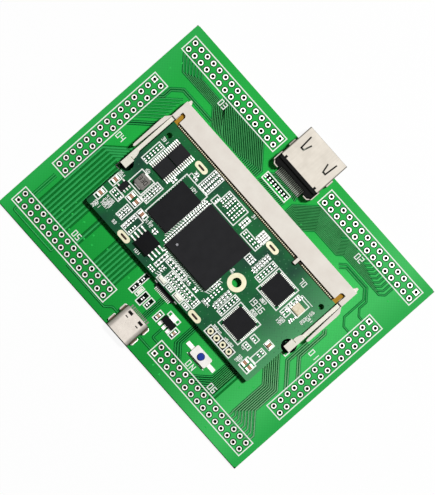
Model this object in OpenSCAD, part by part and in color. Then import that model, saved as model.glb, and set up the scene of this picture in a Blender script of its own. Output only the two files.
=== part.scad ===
// Development board: a carrier circuit board with six unfilled two-row header
// fields, a display port, a round-ended power port and a press switch, and a
// logic module on a small plug-in board that two side latches hold in a socket.
// X runs along the carrier's long side, Y towards the display port, Z up.
// The origin lies on the carrier's underside, at the middle of the header fields.

/* [Carrier board] */
// Length of the carrier along X
carrier_l = 99.4; // [99:0.1:112]
// Width of the carrier along Y
carrier_w = 74.4; // [74:0.1:84]
// How far the carrier's middle lies from the middle of the header fields
carrier_shift = -0.25; // [-0.5:0.05:0.5]
// Thickness of the carrier
carrier_t = 1.6; // [1:0.1:2.4]
// Radius of the carrier's corners
carrier_corner = 0.8; // [0.3:0.1:2]

/* [Header fields] */
// Distance from hole to hole
pin_pitch = 2.54; // [2.5:0.01:2.56]
// Holes along one header field
pin_count = 15; // [8:1:15]
// Diameter of a plated header hole
pin_hole_d = 0.95; // [0.8:0.05:1.2]
// Diameter of the tinned land round a header hole
pin_land_d = 1.5; // [1.4:0.05:1.9]
// From the carrier's short edge to the nearest holes
pin_margin_side = 3.3; // [3:0.1:4]
// From the carrier's rear edge to the nearest holes
pin_margin_rear = 4.0; // [3.5:0.1:4.5]
// From the carrier's front edge to the nearest holes
pin_margin_front = 4.5; // [4:0.1:5]
// From the outer holes to the middle of the printed frame
frame_gap = 1.37; // [1.2:0.01:1.5]

/* [Print and lands] */
// Width of a printed line
print_line = 0.3; // [0.2:0.05:0.35]
// Thickness of the printed lines
print_t = 0.03; // [0.02:0.01:0.04]
// Thickness of a tinned or gilded land
land_t = 0.04; // [0.02:0.01:0.08]
// Width of a raised track
track_w = 0.28; // [0.2:0.02:0.32]
// Height of a raised track
track_t = 0.02; // [0.01:0.01:0.03]
// Height of the solder under a part
solder_t = 0.05; // [0.04:0.01:0.08]

/* [Display port] */
// Width of the display port's shell
video_w = 15.0; // [14:0.1:15.4]
// Height of the display port's shell
video_h = 5.7; // [5.2:0.1:6.5]
// Length of the display port's shell
video_l = 11.1; // [10.8:0.1:12]
// How far the mouth stands out past the carrier's rear edge
video_overhang = 4.55; // [4:0.05:6]
// Sheet thickness of the display port's shell
video_wall = 0.35; // [0.25:0.05:0.45]
// Depth of the moulded block behind the shell
video_block_l = 3.1; // [2.8:0.1:3.4]
// Contacts of the display port
video_pins = 19; // [9:2:19]
// Distance between the display port's contacts
video_pitch = 0.5; // [0.45:0.01:0.55]

/* [Power port] */
// Width of the round-ended port's shell
power_w = 8.6; // [8.2:0.1:9]
// Height of the round-ended port's shell
power_h = 3.2; // [3:0.1:3.4]
// Length of the round-ended port's shell
power_l = 7.9; // [7.4:0.1:8.2]
// From the mouth back to the carrier's front edge
power_setback = 0.2; // [0:0.05:0.5]
// Sheet thickness of the round-ended port's shell
power_wall = 0.3; // [0.2:0.05:0.35]

/* [Press switch] */
// Length of the switch body
switch_l = 6.1; // [5.8:0.1:6.6]
// Depth of the switch body
switch_w = 3.4; // [3.2:0.1:3.8]
// Height of the switch body
switch_h = 1.8; // [1.6:0.1:2.2]
// Diameter of the push button
button_d = 2.0; // [1.6:0.1:2.2]
// How far the button stands above the body
button_rise = 0.75; // [0.6:0.05:1.2]
// How far the button travels
button_travel = 0.25; // [0.15:0.05:0.3]
// Gap round the button
button_gap = 0.1; // [0.08:0.02:0.2]

/* [Module socket] */
// How far the socket reaches past each side of the module
socket_end = 1.75; // [1.7:0.05:2.2]
// From the carrier's middle line to the socket's mouth
socket_mouth_y = 14.7; // [14.3:0.1:15]
// Depth of the socket from its mouth to its back
socket_depth = 5.7; // [5.5:0.1:6]
// Height of the socket
socket_h = 5.2; // [5:0.1:6]
// From the carrier's top to the module's underside
module_lift = 2.7; // [2.5:0.05:2.9]
// How deep the module goes into the socket
module_insert = 2.9; // [2.8:0.1:3.2]
// Gap between the module and the socket
module_gap = 0.1; // [0.05:0.05:0.15]
// Distance from contact to contact
contact_pitch = 0.6; // [0.59:0.01:0.61]
// Width of a socket contact
contact_w = 0.25; // [0.2:0.01:0.3]
// Place of the key along the socket
key_x = 17.7; // [17.6:0.1:17.9]
// Width of the key
key_w = 1.0; // [0.8:0.1:1.1]

/* [Latches] */
// Thickness of a latch arm
latch_w = 1.15; // [1:0.05:1.2]
// From the socket's mouth to the front of a latch
latch_l = 19.4; // [18.8:0.1:19.6]
// How far a hook lies over the module's edge
hook_over = 0.5; // [0.3:0.05:0.6]
// Room beside a latch arm at its front end
latch_room = 0.6; // [0.55:0.05:0.7]

/* [Logic module] */
// Width of the module
module_w = 67.6; // [67.2:0.1:67.8]
// From the module's middle line to its front edge
module_front = 18.85; // [18.6:0.05:19.2]
// Thickness of the module
module_t = 1.0; // [0.9:0.05:1.2]
// Diameter of the module's mounting hole
mount_hole_d = 2.75; // [2.2:0.05:3.2]
// Diameter of the land round the mounting hole
mount_land_d = 5.4; // [4.6:0.1:5.6]
// Length of a gilded edge contact
finger_l = 3.4; // [3.2:0.1:3.6]
// Side of the main chip
main_chip = 17; // [16.6:0.1:17.2]
// Height of the main chip's moulded cap
main_cap_h = 0.9; // [0.6:0.05:1.2]

/* [Hidden] */
$fn = 48;

// Heights and edges of the carrier
top_z = carrier_t;
rear_y = carrier_w / 2 + carrier_shift;
front_y = -carrier_w / 2 + carrier_shift;

// Header fields: middle of each one, its turn, and its square land
pin_span = (pin_count - 1) * pin_pitch;
field_x = carrier_l / 2 - pin_margin_side - pin_span / 2;
side_field_x = carrier_l / 2 - pin_margin_side - pin_pitch / 2;
rear_field_y = rear_y - pin_margin_rear - pin_pitch / 2;
front_field_y = front_y + pin_margin_front + pin_pitch / 2;
last_pin = [pin_count - 1, 1];
rear_left_field = [[-field_x, rear_field_y], 0, last_pin];
rear_right_field = [[field_x, rear_field_y], 0, last_pin];
left_field = [[-side_field_x, 0], 90, last_pin];
right_field = [[side_field_x, 0], 90, last_pin];
front_left_field = [[-field_x, front_field_y], 0, [0, 0]];
front_right_field = [[field_x, front_field_y], 0, [0, 0]];
fields = [right_field, rear_right_field, rear_left_field, left_field,
          front_left_field, front_right_field];
frame_rear_y = rear_field_y - pin_pitch / 2 - frame_gap;
frame_front_y = front_field_y + pin_pitch / 2 + frame_gap;
frame_side_x = side_field_x - pin_pitch / 2 - frame_gap;

// Where the socket, the latches and the module lie
module_top_z = top_z + module_lift + module_t;
module_low_z = top_z + module_lift;
socket_back_y = socket_mouth_y + socket_depth;
module_edge_y = socket_mouth_y + module_insert;
slot_roof = module_top_z + 0.45;
slot_floor = module_low_z - 0.45;
socket_half = module_w / 2 + socket_end;
channel_x = module_w / 2 + module_gap - 0.8;
latch_inner_x = socket_half - 1.4;
latch_outer_x = latch_inner_x + latch_w;
latch_front_y = socket_mouth_y - latch_l;
latch_z = [top_z + 0.4, module_top_z - 0.2];
hook_z = [module_top_z + 0.06, module_top_z + 1.1];
hook_x = module_w / 2 - hook_over;
notch_r = 2.0;
notch_y = latch_front_y + 1.0;
pocket_gap = 0.15;
tenon_w = 0.5;
peg_d = 1.5;
peg_gap = 0.05;
peg_x = (channel_x + socket_half) / 2;
peg_y = socket_back_y - 1.1;
key_reach = 2.0;
first_short_x = key_x + 2.6;
last_long_x = key_x - 1.9;
contacts_long = floor((last_long_x + channel_x - 0.6) / contact_pitch) + 1;
contacts_short = floor((channel_x - 1.0 - first_short_x) / contact_pitch) + 1;
first_long_x = last_long_x - (contacts_long - 1) * contact_pitch;
channel_y = module_edge_y + 0.3;
contact_xs = concat([for (i = [0 : contacts_long - 1]) first_long_x + i * contact_pitch],
                    [for (i = [0 : contacts_short - 1]) first_short_x + i * contact_pitch]);

// Places of the ports, the switch and the parts by the carrier's front edge
video_mouth_y = rear_y + video_overhang;
video_shell_y = video_mouth_y - video_l;
video_back_y = video_shell_y - video_block_l;
video_comb = 0.8;
video_tongue_z = top_z + video_h * 0.5;
power_mouth_y = front_y + power_setback;
power_back_y = power_mouth_y + power_l;
switch_at = [20.1, front_y + 13.6];
regulator_at = [7.1, front_y + 13.1];
controller_at = [0.1, front_y + 20.9];
controller_side = 7;
controller_pins = 12;
controller_pitch = 0.5;

// Places of the module's chips
mount_hole_at = [11.2, -2.7];
main_chip_at = [-1.3, -2.05];
memory_at = [-16.0, -1.7];
memory_size = [8, 13];
flash_at = [-13.5, -14.05];
flash_size = [5.2, 5.2];
buffer_at = [[-25.9, 8.8], [-25.9, 3.5]];
buffer_size = [4.3, 5.0];
interface_at = [[20.2, 4.6], [20.25, -9.6]];
interface_side = 6.9;
inductor_at = [-27.1, -3.7];
inductor_side = 4.0;
converter_at = [-29.7, -8.3];
converter_size = [1.7, 2.9];
oscillator_at = [28.0, 5.2];
oscillator_size = [3.0, 2.7];
peg_holes_at = [[-31.8, 10.4], [31.8, 10.4]];
slot_holes_at = [[-19.2, 11.1], [-19.2, -17.75], [10.55, 11.1], [10.5, -17.75]];
slot_land = [4.4, 1.95];
slot_hole = [2.35, 0.55];
probe_row_at = [20.3, -17.1];
probe_count = 4;
probe_land_d = 1.8;
probe_hole_d = 0.8;
lamps_at = [[-3.1, -17.7], [3.5, -17.7]];
lamp_size = [2.5, 0.9];

// Small two-ended parts: length, width, height and length of one end
small_part = [1.0, 0.5, 0.4, 0.3];
medium_part = [1.6, 0.8, 0.75, 0.32];
large_part = [2.0, 1.25, 0.95, 0.5];

// Rows of small parts: first place, step, count, and a turn of 0 or 90 degrees
module_rows = [
    [[-30.4, -11.4], [1.2, 0], 3, 90], [[-31.2, 6.5], [0, -1.12], 6, 0],
    [[-22.9, -1.4], [0, -1.0], 6, 0], [[-24.1, -11.8], [0, -0.95], 4, 0],
    [[-21.1, -11.9], [0, -0.95], 5, 0], [[-19.2, -13.9], [0, -1.5], 2, 90],
    [[-15.1, -10.2], [1.2, 0], 2, 90], [[-10.65, 6.0], [0, -0.8], 21, 0],
    [[-11.6, 5.2], [0, -1.7], 5, 90], [[-5.7, -12.75], [1.15, 0], 6, 90],
    [[2.3, -12.6], [2.9, 0], 2, 0], [[-2.4, -14.75], [1.15, 0], 8, 90],
    [[-2.2, -16.25], [1.6, 0], 6, 0], [[7.7, -14.3], [0, -0.8], 3, 0],
    [[-7.4, -12.5], [0, -1.1], 4, 0], [[-5.6, -15.1], [0, -1.1], 2, 0],
    [[-8.3, -17.8], [0.8, 0], 3, 90], [[-8.2, 12.0], [0, -0.95], 4, 0],
    [[-6.4, 12.0], [0, -0.95], 4, 0], [[-4.6, 12.0], [0, -0.95], 5, 0],
    [[-2.8, 12.0], [0, -0.95], 5, 0], [[-9.6, 8.3], [0, -1.0], 1, 90],
    [[-15.5, 12.9], [0, -1.3], 5, 90], [[-14.3, 12.9], [0, -1.3], 5, 90],
    [[-13.1, 12.9], [0, -1.3], 5, 90], [[0.3, 11.2], [0, -0.85], 4, 0],
    [[2.5, 8.1], [1.24, 0], 5, 90], [[6.0, 12.1], [0, -0.8], 3, 0],
    [[7.4, 12.1], [0, -0.8], 3, 0], [[8.6, 4.8], [0, -0.9], 2, 0],
    [[14.4, 8.2], [0, -1.1], 6, 0], [[11.9, 8.5], [0, -0.95], 7, 0],
    [[14.4, -5.8], [0, -1.15], 6, 0], [[12.1, -6.1], [0, -1.15], 6, 0],
    [[9.5, -7.0], [0, -1.15], 5, 0], [[7.9, -6.8], [0, -0.85], 3, 0],
    [[25.5, 6.9], [0, -2.3], 2, 90], [[26.2, 2.5], [0, -1.2], 2, 0],
    [[28.8, 1.5], [0, -1.0], 1, 90], [[26.2, -9.6], [0, -2.6], 2, 0],
    [[30.4, -10.3], [0, -1.3], 2, 0], [[-18.1, 7.8], [0, -1.0], 1, 0],
    [[-21.4, 3.1], [0, -1.0], 1, 90], [[0.1, -17.7], [6.6, 0], 2, 0],
];
// Large sand-coloured parts on the module: place and turn
module_large = [
    [[-32.6, -8.85], 90], [[-32.6, -14.4], 90], [[-26.1, -8.7], 90], [[-24.0, -8.7], 90],
    [[29.4, -15.7], 90], [[31.2, -15.7], 90], [[-20.4, -9.8], 0], [[30.2, -7.5], 0],
];
// Rows on the carrier, with Y counted from its rear or its front edge
port_row_y = rear_y - 13.75;
rear_rows = [[[-5.6, port_row_y], [1.17, 0], 8, 90]];
front_rows = [
    [[-6.75, front_y + 12.6], [0, 3.2], 2, 90], [[-2.85, front_y + 12.2], [2.15, 0], 2, 90],
    [[-6.75, front_y + 14.3], [0, 2.4], 1, 0],
];
front_lamp_at = [-4.9, front_y + 12.9];
front_medium = [[[3.7, front_y + 12.2], 90], [[10.2, front_y + 12.2], 90]];

// Outlines printed on the module: lower left and upper right corners
module_frames = [
    [[-32.5, 0.4], [-29.95, 7.3]], [[-30.0, -6.7], [-24.6, -1.3]],
    [[-24.4, -7.1], [-21.7, -0.6]], [[-33.6, -10.8], [-31.5, -7.2]],
    [[-33.6, -16.4], [-31.5, -12.7]], [[-31.2, -12.6], [-27.4, -10.2]],
    [[-27.2, -10.4], [-22.9, -7.1]], [[-25.5, -15.2], [-22.9, -10.9]],
    [[-22.0, -16.5], [-18.4, -10.9]], [[-22.0, -10.7], [-18.6, -8.9]],
    [[-20.7, -8.6], [-11.95, 7.1]], [[-16.3, 7.1], [-12.3, 13.7]],
    [[-9.25, 6.9], [-1.2, 12.8]], [[-10.8, 6.9], [-9.25, 9.6]],
    [[1.7, 6.8], [8.2, 9.3]], [[5.2, 9.6], [8.3, 12.6]],
    [[-0.6, 8.3], [1.2, 11.7]], [[15.9, 0.2], [24.4, 8.9]],
    [[13.3, 1.9], [15.5, 8.9]], [[15.9, -14.1], [24.5, -5.3]],
    [[13.3, -12.2], [15.5, -5.1]], [[25.0, 3.2], [29.8, 8.0]],
    [[28.9, -8.6], [31.5, -6.4]], [[29.3, -13.9], [31.6, -9.5]],
    [[28.5, -17.6], [32.2, -13.9]], [[-6.4, -13.75], [1.0, -11.85]],
    [[-3.3, -16.9], [8.7, -13.85]], [[-4.8, -18.6], [-1.4, -16.95]],
    [[1.8, -18.6], [5.2, -16.95]], [[-1.1, -18.4], [1.2, -17.1]],
    [[5.5, -18.4], [7.9, -17.1]], [[-8.1, -16.6], [-6.7, -11.9]],
    [[25.0, -10.2], [27.5, -8.4]], [[25.0, -13.1], [27.5, -11.5]],
    [[25.0, 0.8], [27.6, 3.1]], [[7.3, 3.3], [9.8, 5.5]],
];
module_digits = [
    ["70", [22.4, 10.2], 1.5], ["1936", [16.8, -3.6], 1.7], ["3", [-32.0, 8.1], 0.9],
    ["5", [-28.6, -1.0], 0.9], ["8", [7.7, -1.6], 0.9], ["12", [19.2, -1.0], 0.8],
    ["14", [19.2, -5.1], 0.8], ["21", [-31.2, -17.8], 0.9], ["9", [32.0, 5.0], 0.9],
    ["17", [-29.6, -15.6], 1.2], ["6", [-17.4, -9.9], 0.9], ["20", [27.0, -16.7], 0.9],
];

// Bundles of tracks: points of the first one, their steps, and the count
bundles = [
    [[[-7.5, socket_back_y + 0.3], [-7.5, 23.2], [-13.1, frame_rear_y]],
     [[-0.6, 0], [-0.6, -0.14], [-0.27, -0.42]], 16],
    [[[-46.4, frame_rear_y], [-42.3, 25.0]], [[1.27, 0], [1.15, 0.33]], 7],
    [[[-30.1, 25.8], [-26.3, 22.1]], [[0.62, 0.25], [0.55, 0.62]], 8],
    [[[4.4, socket_back_y + 0.3], [4.4, 21.9], [10.4, frame_rear_y]],
     [[0.6, 0], [0.6, 0.04], [0.38, -0.3]], 11],
    [[[11.2, socket_back_y + 0.3], [14.4, 24.3]], [[1.1, 0], [0.75, -0.42]], 4],
    [[[22.6, 23.6], [25.6, 26.5]], [[0.9, -0.05], [0.6, -0.4]], 5],
    [[[41.4, frame_rear_y], [41.4, 26.2], [40.3, 25.1]],
     [[-1.27, 0], [-1.27, 0.35], [-1.2, 0.32]], 7],
    [[[37.4, 24.7], [39.9, 22.0], [39.9, 18.3], [41.3, 16.7], [frame_side_x, 16.7]],
     [[0, 0], [0, 0], [0, 0], [0, 0], [0, 0]], 1],
    [[[27.0, 21.4], [28.4, 23.2], [36.2, 23.2], [38.3, 21.0], [38.3, 13.2], [40.2, 11.5],
      [frame_side_x, 11.5]],
     [[0, 0], [0, 0], [0, 0], [0, 0], [0, 0], [0, 0], [0, 0]], 1],
    [[[37.6, 7.0], [38.5, 6.0], [38.5, -2.6], [frame_side_x, -6.4]],
     [[0, 0], [0, 0], [0, 0], [0, 0]], 1],
    [[[37.4, -7.2], [frame_side_x, -11.7]], [[-0.5, -0.5], [0, -0.7]], 2],
    [[[34.8, -8.6], [41.4, -14.4], [41.4, -22.8], [46.4, -27.2], [46.4, frame_front_y]],
     [[-0.05, -0.45], [-0.58, -0.1], [-0.58, -0.25], [-1.27, 0.35], [-1.27, 0]], 8],
    [[[26.7, -19.6], [26.7, -25.2], [23.2, frame_front_y]],
     [[0.5, 0], [0.5, -0.1], [0.8, 0]], 7],
    [[[31.3, -19.6], [31.3, frame_front_y]], [[0, 0], [0, 0]], 1],
    [[[12.7, -19.6], [12.7, -26.9], [14.4, frame_front_y]],
     [[0.5, 0], [0.5, 0.1], [0.9, 0]], 3],
    [[[-42.9, -8.2], [-42.9, frame_front_y]], [[1.27, 0.62], [1.27, 0]], 6],
    [[[-35.2, -7.2], [-35.2, frame_front_y]], [[1.27, 0], [1.27, 0]], 4],
    [[[-45.2, -20.0], [-45.2, frame_front_y]], [[0, 0], [0, 0]], 1],
    [[[-27.3, -19.6], [-27.3, -25.8]], [[1.2, 0], [1.2, -2.4]], 2],
    [[[-19.8, -19.6], [-19.8, frame_front_y]], [[1.27, 0], [1.27, 0]], 8],
    [[[-frame_side_x, 3.9], [-37.9, 8.8]], [[0, 0.6], [0, 0.6]], 3],
    [[[-frame_side_x, 6.6], [-38.4, 11.0]], [[0, 1.27], [-0.25, 1.05]], 8],
    [[[-frame_side_x, -5.4], [-37.3, -1.3]], [[0.9, -0.1], [0, -0.75]], 4],
    [[[-41.0, 18.8], [-38.4, 21.4], [-36.5, 21.4]], [[0, 0], [0, 0], [0, 0]], 1],
    [[[-33.8, 21.3], [-27.2, 21.3]], [[0, 0], [0, 0]], 1],
    [[[-24.0, front_y + 2.7], [-8.4, front_y + 2.7], [-6.9, front_y + 4.3],
      [-5.2, front_y + 4.3]],
     [[0, 0], [0, 0], [0, 0], [0, 0]], 1],
    [[[-45.3, front_y + 2.8], [-45.3, front_y + 1.8], [-29.8, front_y + 1.8],
      [-29.8, front_y + 2.8]],
     [[0, 0], [0, 0], [0, 0], [0, 0]], 1],
    [[[5.2, front_y + 4.3], [9.0, front_y + 4.3]], [[0, 0], [0, 0]], 1],
    [[[7.1, front_y + 10.3], [7.1, front_y + 7.0], [9.0, front_y + 7.0]],
     [[0, 0], [0, 0], [0, 0]], 1],
];

// Plain numbers by the header fields, in the order of the fields
field_labels = [
    [40.35, -0.85], [28.7, rear_field_y - 5.2], [-28.7, rear_field_y - 5.2],
    [-40.85, -0.85], [-28.4, front_field_y + 3.4], [28.6, front_field_y + 3.4],
];
label_h = 1.7;

// Flat shapes

module rounded_plate(size, r) {
    square([size[0] - 2 * r, size[1]], center = true);
    square([size[0], size[1] - 2 * r], center = true);
    for (sx = [-1, 1], sy = [-1, 1])
        translate([sx * (size[0] / 2 - r), sy * (size[1] / 2 - r)]) circle(r);
}

module stadium(size) {
    square([size[0] - size[1], size[1]], center = true);
    for (side = [-1, 1]) translate([side * (size[0] - size[1]) / 2, 0]) circle(size[1] / 2);
}

module frame_line(low, high) {
    difference() {
        translate([low[0], low[1]]) square([high[0] - low[0], high[1] - low[1]]);
        translate([low[0] + print_line, low[1] + print_line])
            square([high[0] - low[0] - 2 * print_line, high[1] - low[1] - 2 * print_line]);
    }
}

// Tracks: each is a band round a line of points, with mitred bends

function unit(v) = v / norm(v);
function left_of(v) = [-v[1], v[0]];
function side_step(p, i, d) =
    i == 0 ? d * left_of(unit(p[1] - p[0])) :
    i == len(p) - 1 ? d * left_of(unit(p[i] - p[i - 1])) :
    let (a = left_of(unit(p[i] - p[i - 1])), b = left_of(unit(p[i + 1] - p[i])))
    d * (a + b) / (1 + a * b);
function beside(p, d) = [for (i = [0 : len(p) - 1]) p[i] + side_step(p, i, d)];
function reversed(p) = [for (i = [len(p) - 1 : -1 : 0]) p[i]];
function stepped(p, s, k) = [for (i = [0 : len(p) - 1]) p[i] + k * s[i]];

module track(p) polygon(concat(beside(p, track_w / 2), reversed(beside(p, -track_w / 2))));

// Plain numbers made of up to seven straight strokes each

digit_strokes = [
    [1, 1, 1, 0, 1, 1, 1], [0, 0, 1, 0, 0, 1, 0], [1, 0, 1, 1, 1, 0, 1],
    [1, 0, 1, 1, 0, 1, 1], [0, 1, 1, 1, 0, 1, 0], [1, 1, 0, 1, 0, 1, 1],
    [1, 1, 0, 1, 1, 1, 1], [1, 0, 1, 0, 0, 1, 0], [1, 1, 1, 1, 1, 1, 1],
    [1, 1, 1, 1, 0, 1, 1],
];
stroke_boxes = [
    [[0, 1], [1, 1]], [[0, 0.5], [0, 1]], [[1, 0.5], [1, 1]], [[0, 0.5], [1, 0.5]],
    [[0, 0], [0, 0.5]], [[1, 0], [1, 0.5]], [[0, 0], [1, 0]],
];

module stroke(from, to, w) {
    low = [min(from[0], to[0]) - w / 2, min(from[1], to[1]) - w / 2];
    high = [max(from[0], to[0]) + w / 2, max(from[1], to[1]) + w / 2];
    translate(low) square(high - low);
}

module digit(n, h) {
    size = [h * 0.5, h];
    for (k = [0 : 6])
        if (digit_strokes[n][k] == 1)
            stroke([for (a = [0, 1]) stroke_boxes[k][0][a] * size[a]],
                   [for (a = [0, 1]) stroke_boxes[k][1][a] * size[a]], h * 0.15);
}

module number(digits, at, h) {
    for (i = [0 : len(digits) - 1])
        translate([at[0] + i * h * 0.85, at[1]]) digit(ord(digits[i]) - ord("0"), h);
}

// Header fields

module at_pins(field) {
    translate([field[0][0], field[0][1], 0]) rotate(field[1])
        for (i = [0 : pin_count - 1], j = [0, 1])
            translate([i * pin_pitch - pin_span / 2, (j - 0.5) * pin_pitch, 0]) {
                $square_land = [i, j] == field[2];
                children();
            }
}

module land(t, extra = 0) {
    if ($square_land)
        translate([-pin_land_d / 2, -pin_land_d / 2, 0]) cube([pin_land_d, pin_land_d, t + extra]);
    else
        cylinder(h = t + extra, d = pin_land_d);
}

module header_pads(field) {
    color("gainsboro") at_pins(field) for (z = [0, carrier_t]) translate([0, 0, z]) difference() {
        land(land_t);
        translate([0, 0, -1]) cylinder(h = land_t + 2, d = pin_hole_d);
    }
}

module carrier_board() {
    color("limegreen") difference() {
        translate([0, carrier_shift, 0]) linear_extrude(carrier_t)
            rounded_plate([carrier_l, carrier_w], carrier_corner);
        for (field = fields) at_pins(field) {
            translate([0, 0, -1]) cylinder(h = carrier_t + 2, d = pin_hole_d);
            translate([0, 0, -1]) land(land_t + 1);
        }
        for (side = [-1, 1]) translate([side * peg_x, peg_y, -1])
            cylinder(h = carrier_t + 2, d = peg_d + 2 * peg_gap);
    }
}

frame_half = [pin_span / 2 + frame_gap + print_line / 2,
              pin_pitch / 2 + frame_gap + print_line / 2];
module field_frame(field) translate(field[0]) rotate(field[1]) frame_line(-frame_half, frame_half);

// Corner marks by the latches, and the word-free marks by the switch and the ports
module corner_mark(side) {
    x = side * (latch_outer_x + 0.3);
    y = latch_front_y - 1.5;
    stroke([x, y], [x, y + 1.5], print_line);
    stroke([x, y], [x - side * 1.7, y], print_line);
}

module carrier_print() {
    color("white") translate([0, 0, top_z]) linear_extrude(print_t) {
        for (i = [0 : 5]) {
            field_frame(fields[i]);
            number(str("0", i + 1), field_labels[i] - [label_h * 0.6, 0], label_h);
        }
        for (side = [-1, 1]) corner_mark(side);
        frame_line([-6.3, port_row_y - 1.35], [3.35, port_row_y + 1.35]);
        frame_line([-7.65, front_y + 10.9], [-5.8, front_y + 17.9]);
        frame_line([-5.6, front_y + 11.3], [-4.2, front_y + 14.4]);
        frame_line([-3.9, front_y + 10.1], [-1.8, front_y + 14.3]);
        frame_line([-1.5, front_y + 10.9], [0.3, front_y + 14.3]);
        for (at = front_medium)
            frame_line(at[0] + [-0.95, -1.65], at[0] + [0.95, 1.65]);
        frame_line(regulator_at + [-2.2, 1.2], regulator_at + [2.2, 2.75]);
        on_mark([switch_at[0] - 1.4, switch_at[1] - 4.7], label_h);
    }
}

// The word ON beside the switch
module on_mark(at, h) {
    number("0", at, h);
    x = at[0] + h * 0.95;
    w = h * 0.15;
    stroke([x, at[1]], [x, at[1] + h], w);
    stroke([x + h * 0.55, at[1]], [x + h * 0.55, at[1] + h], w);
    polygon([[x - w / 2, at[1] + h], [x + w / 2, at[1] + h],
             [x + h * 0.55 + w / 2, at[1]], [x + h * 0.55 - w / 2, at[1]]]);
}

module carrier_tracks() {
    color("forestgreen") translate([0, 0, top_z]) linear_extrude(track_t) difference() {
        for (bundle = bundles, k = [0 : bundle[2] - 1]) track(stepped(bundle[0], bundle[1], k));
        for (field = fields) translate(field[0]) rotate(field[1]) square(2 * frame_half, center = true);
        for (label = field_labels)
            translate(label - [label_h, 0.3]) square([label_h * 2, label_h + 0.6]);
    }
}

// Display port: a folded sheet shell round a moulded block and its contacts

module video_outline(inset) {
    w = video_w / 2 - inset;
    low = inset;
    high = video_h - inset;
    bevel = 1.5;
    polygon([[-w, high], [w, high], [w, low + bevel * 1.2], [w - bevel, low],
             [-w + bevel, low], [-w, low + bevel * 1.2]]);
}

module along_port(from_y, to_y, floor_z) {
    translate([0, to_y, floor_z]) rotate([90, 0, 0]) linear_extrude(to_y - from_y) children();
}

// The two springs that the shell's top has, cut free on three sides
module video_spring_slots(side) {
    slot = 0.34;
    foot_y = video_mouth_y - 6.2;
    x = side * 4.56;
    half = 0.42;
    for (edge = [[half, 4.3, -4.6], [-half, 2.8, 15.6]])
        translate([x + side * edge[0], foot_y, top_z + video_h - 1])
            rotate([0, 0, side * edge[2]]) translate([-slot / 2, 0, 0]) cube([slot, edge[1], 2]);
    translate([x - half - slot / 2, foot_y, top_z + video_h - 1])
        cube([2 * half + slot, slot * 1.3, 2]);
}

// Cheek that wraps a rear corner of the block, seen from above
module video_cheek_outline() {
    x = video_w / 2;
    y = video_back_y;
    end_y = video_shell_y + 0.6;
    polygon([[5.3, y - 0.4], [x + video_wall - 1.1, y - 0.4], [x + video_wall, y + 0.7],
             [x + video_wall, end_y], [x, end_y], [x, y + 0.85],
             [x - 0.95, y - 0.4 + video_wall], [5.3, y - 0.4 + video_wall]]);
}

module video_port_shell() {
    cheek_h = video_h - 1.2;
    color("silver") {
        difference() {
            along_port(video_shell_y, video_mouth_y, top_z) video_outline(0);
            along_port(video_shell_y - 1, video_mouth_y + 1, top_z) video_outline(video_wall);
            for (side = [-1, 1]) {
                video_spring_slots(side);
                translate([side * 5.9 - 0.3, video_shell_y - 0.1, top_z + video_h - 1])
                    cube([0.6, 0.8, 2]);
            }
        }
        for (side = [0, 1]) mirror([side, 0, 0]) {
            translate([0, 0, top_z]) linear_extrude(cheek_h) video_cheek_outline();
            translate([video_w / 2 - 0.3, video_shell_y, top_z + 1.9])
                cube([0.5, 0.6, cheek_h - 1.9]);
            translate([video_w / 2 - 0.3, video_shell_y + 3.2, top_z + 1.9])
                cube([0.6, 2.4, 0.8]);
            translate([video_w / 2, video_shell_y + 3.2, top_z])
                cube([0.5, 2.4, 2.7]);
        }
    }
}

module video_port_block() {
    tongue_t = 1.2;
    fit = video_wall + 0.03;
    color("black") {
        along_port(video_shell_y - 1, video_shell_y + 3, top_z) video_outline(fit);
        translate([0, 0, top_z]) linear_extrude(video_h - 1.4) difference() {
            translate([-video_w / 2 + 0.1, video_back_y]) square([video_w - 0.2, video_block_l - 0.02]);
            for (side = [0, 1]) mirror([side, 0, 0])
                polygon([[video_w / 2 - 1.2, video_back_y - 1], [video_w / 2 + 1, video_back_y - 1],
                         [video_w / 2 + 1, video_back_y + 1.1], [video_w / 2 - 0.1, video_back_y + 1.1],
                         [video_w / 2 - 1.2, video_back_y]]);
            translate([-4.75, video_back_y - 1]) square([9.5, 1 + video_comb]);
        }
        translate([-6, video_shell_y + 2.9, video_tongue_z - tongue_t / 2])
            cube([12, video_l - 4.9, tongue_t]);
    }
}

module video_port_contacts() {
    span = (video_pins - 1) * video_pitch;
    tail = 0.26;
    color("gold") for (i = [0 : video_pins - 1]) translate([i * video_pitch - span / 2, 0, 0]) {
        translate([-tail / 2, video_back_y - 1.6, top_z + 0.05]) cube([tail, 1.6 + video_comb, 0.2]);
        translate([-tail / 2, video_back_y + video_comb - 0.35, top_z + 0.05]) cube([tail, 0.35, 1.9]);
        translate([-tail / 2, video_shell_y + 3, video_tongue_z + 0.6])
            cube([tail, video_l - 5.5, 0.1]);
    }
}

// Round-ended power port

module power_outline(inset) {
    translate([0, power_h / 2]) stadium([power_w - 2 * inset, power_h - 2 * inset]);
}

module power_port_shell() {
    color("silver") difference() {
        union() {
            along_port(power_mouth_y, power_back_y, top_z) power_outline(0);
            for (side = [-1, 1], y = [1.2, 5.4])
                translate([side * (power_w / 2 + 0.2) - 0.4, power_mouth_y + y, top_z])
                    cube([0.8, 2.0, power_h * 0.55]);
        }
        along_port(power_mouth_y - 1, power_back_y + 1, top_z) power_outline(power_wall);
        for (side = [-1, 1])
            translate([side * 2.0, power_back_y, top_z + power_h - 1]) {
                translate([-0.75, -1.45, 0]) cube([1.5, 0.85, 2]);
                translate([-0.45, -2.6, 0]) cube([0.9, 0.3, 2]);
            }
    }
}

module power_port_tongue() {
    color("dimgray") {
        along_port(power_back_y - 2.2, power_back_y, top_z) power_outline(power_wall + 0.02);
        translate([-3.35, power_mouth_y + 1.0, top_z + power_h / 2 - 0.35])
            cube([6.7, power_l - 3.1, 0.7]);
    }
}

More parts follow.
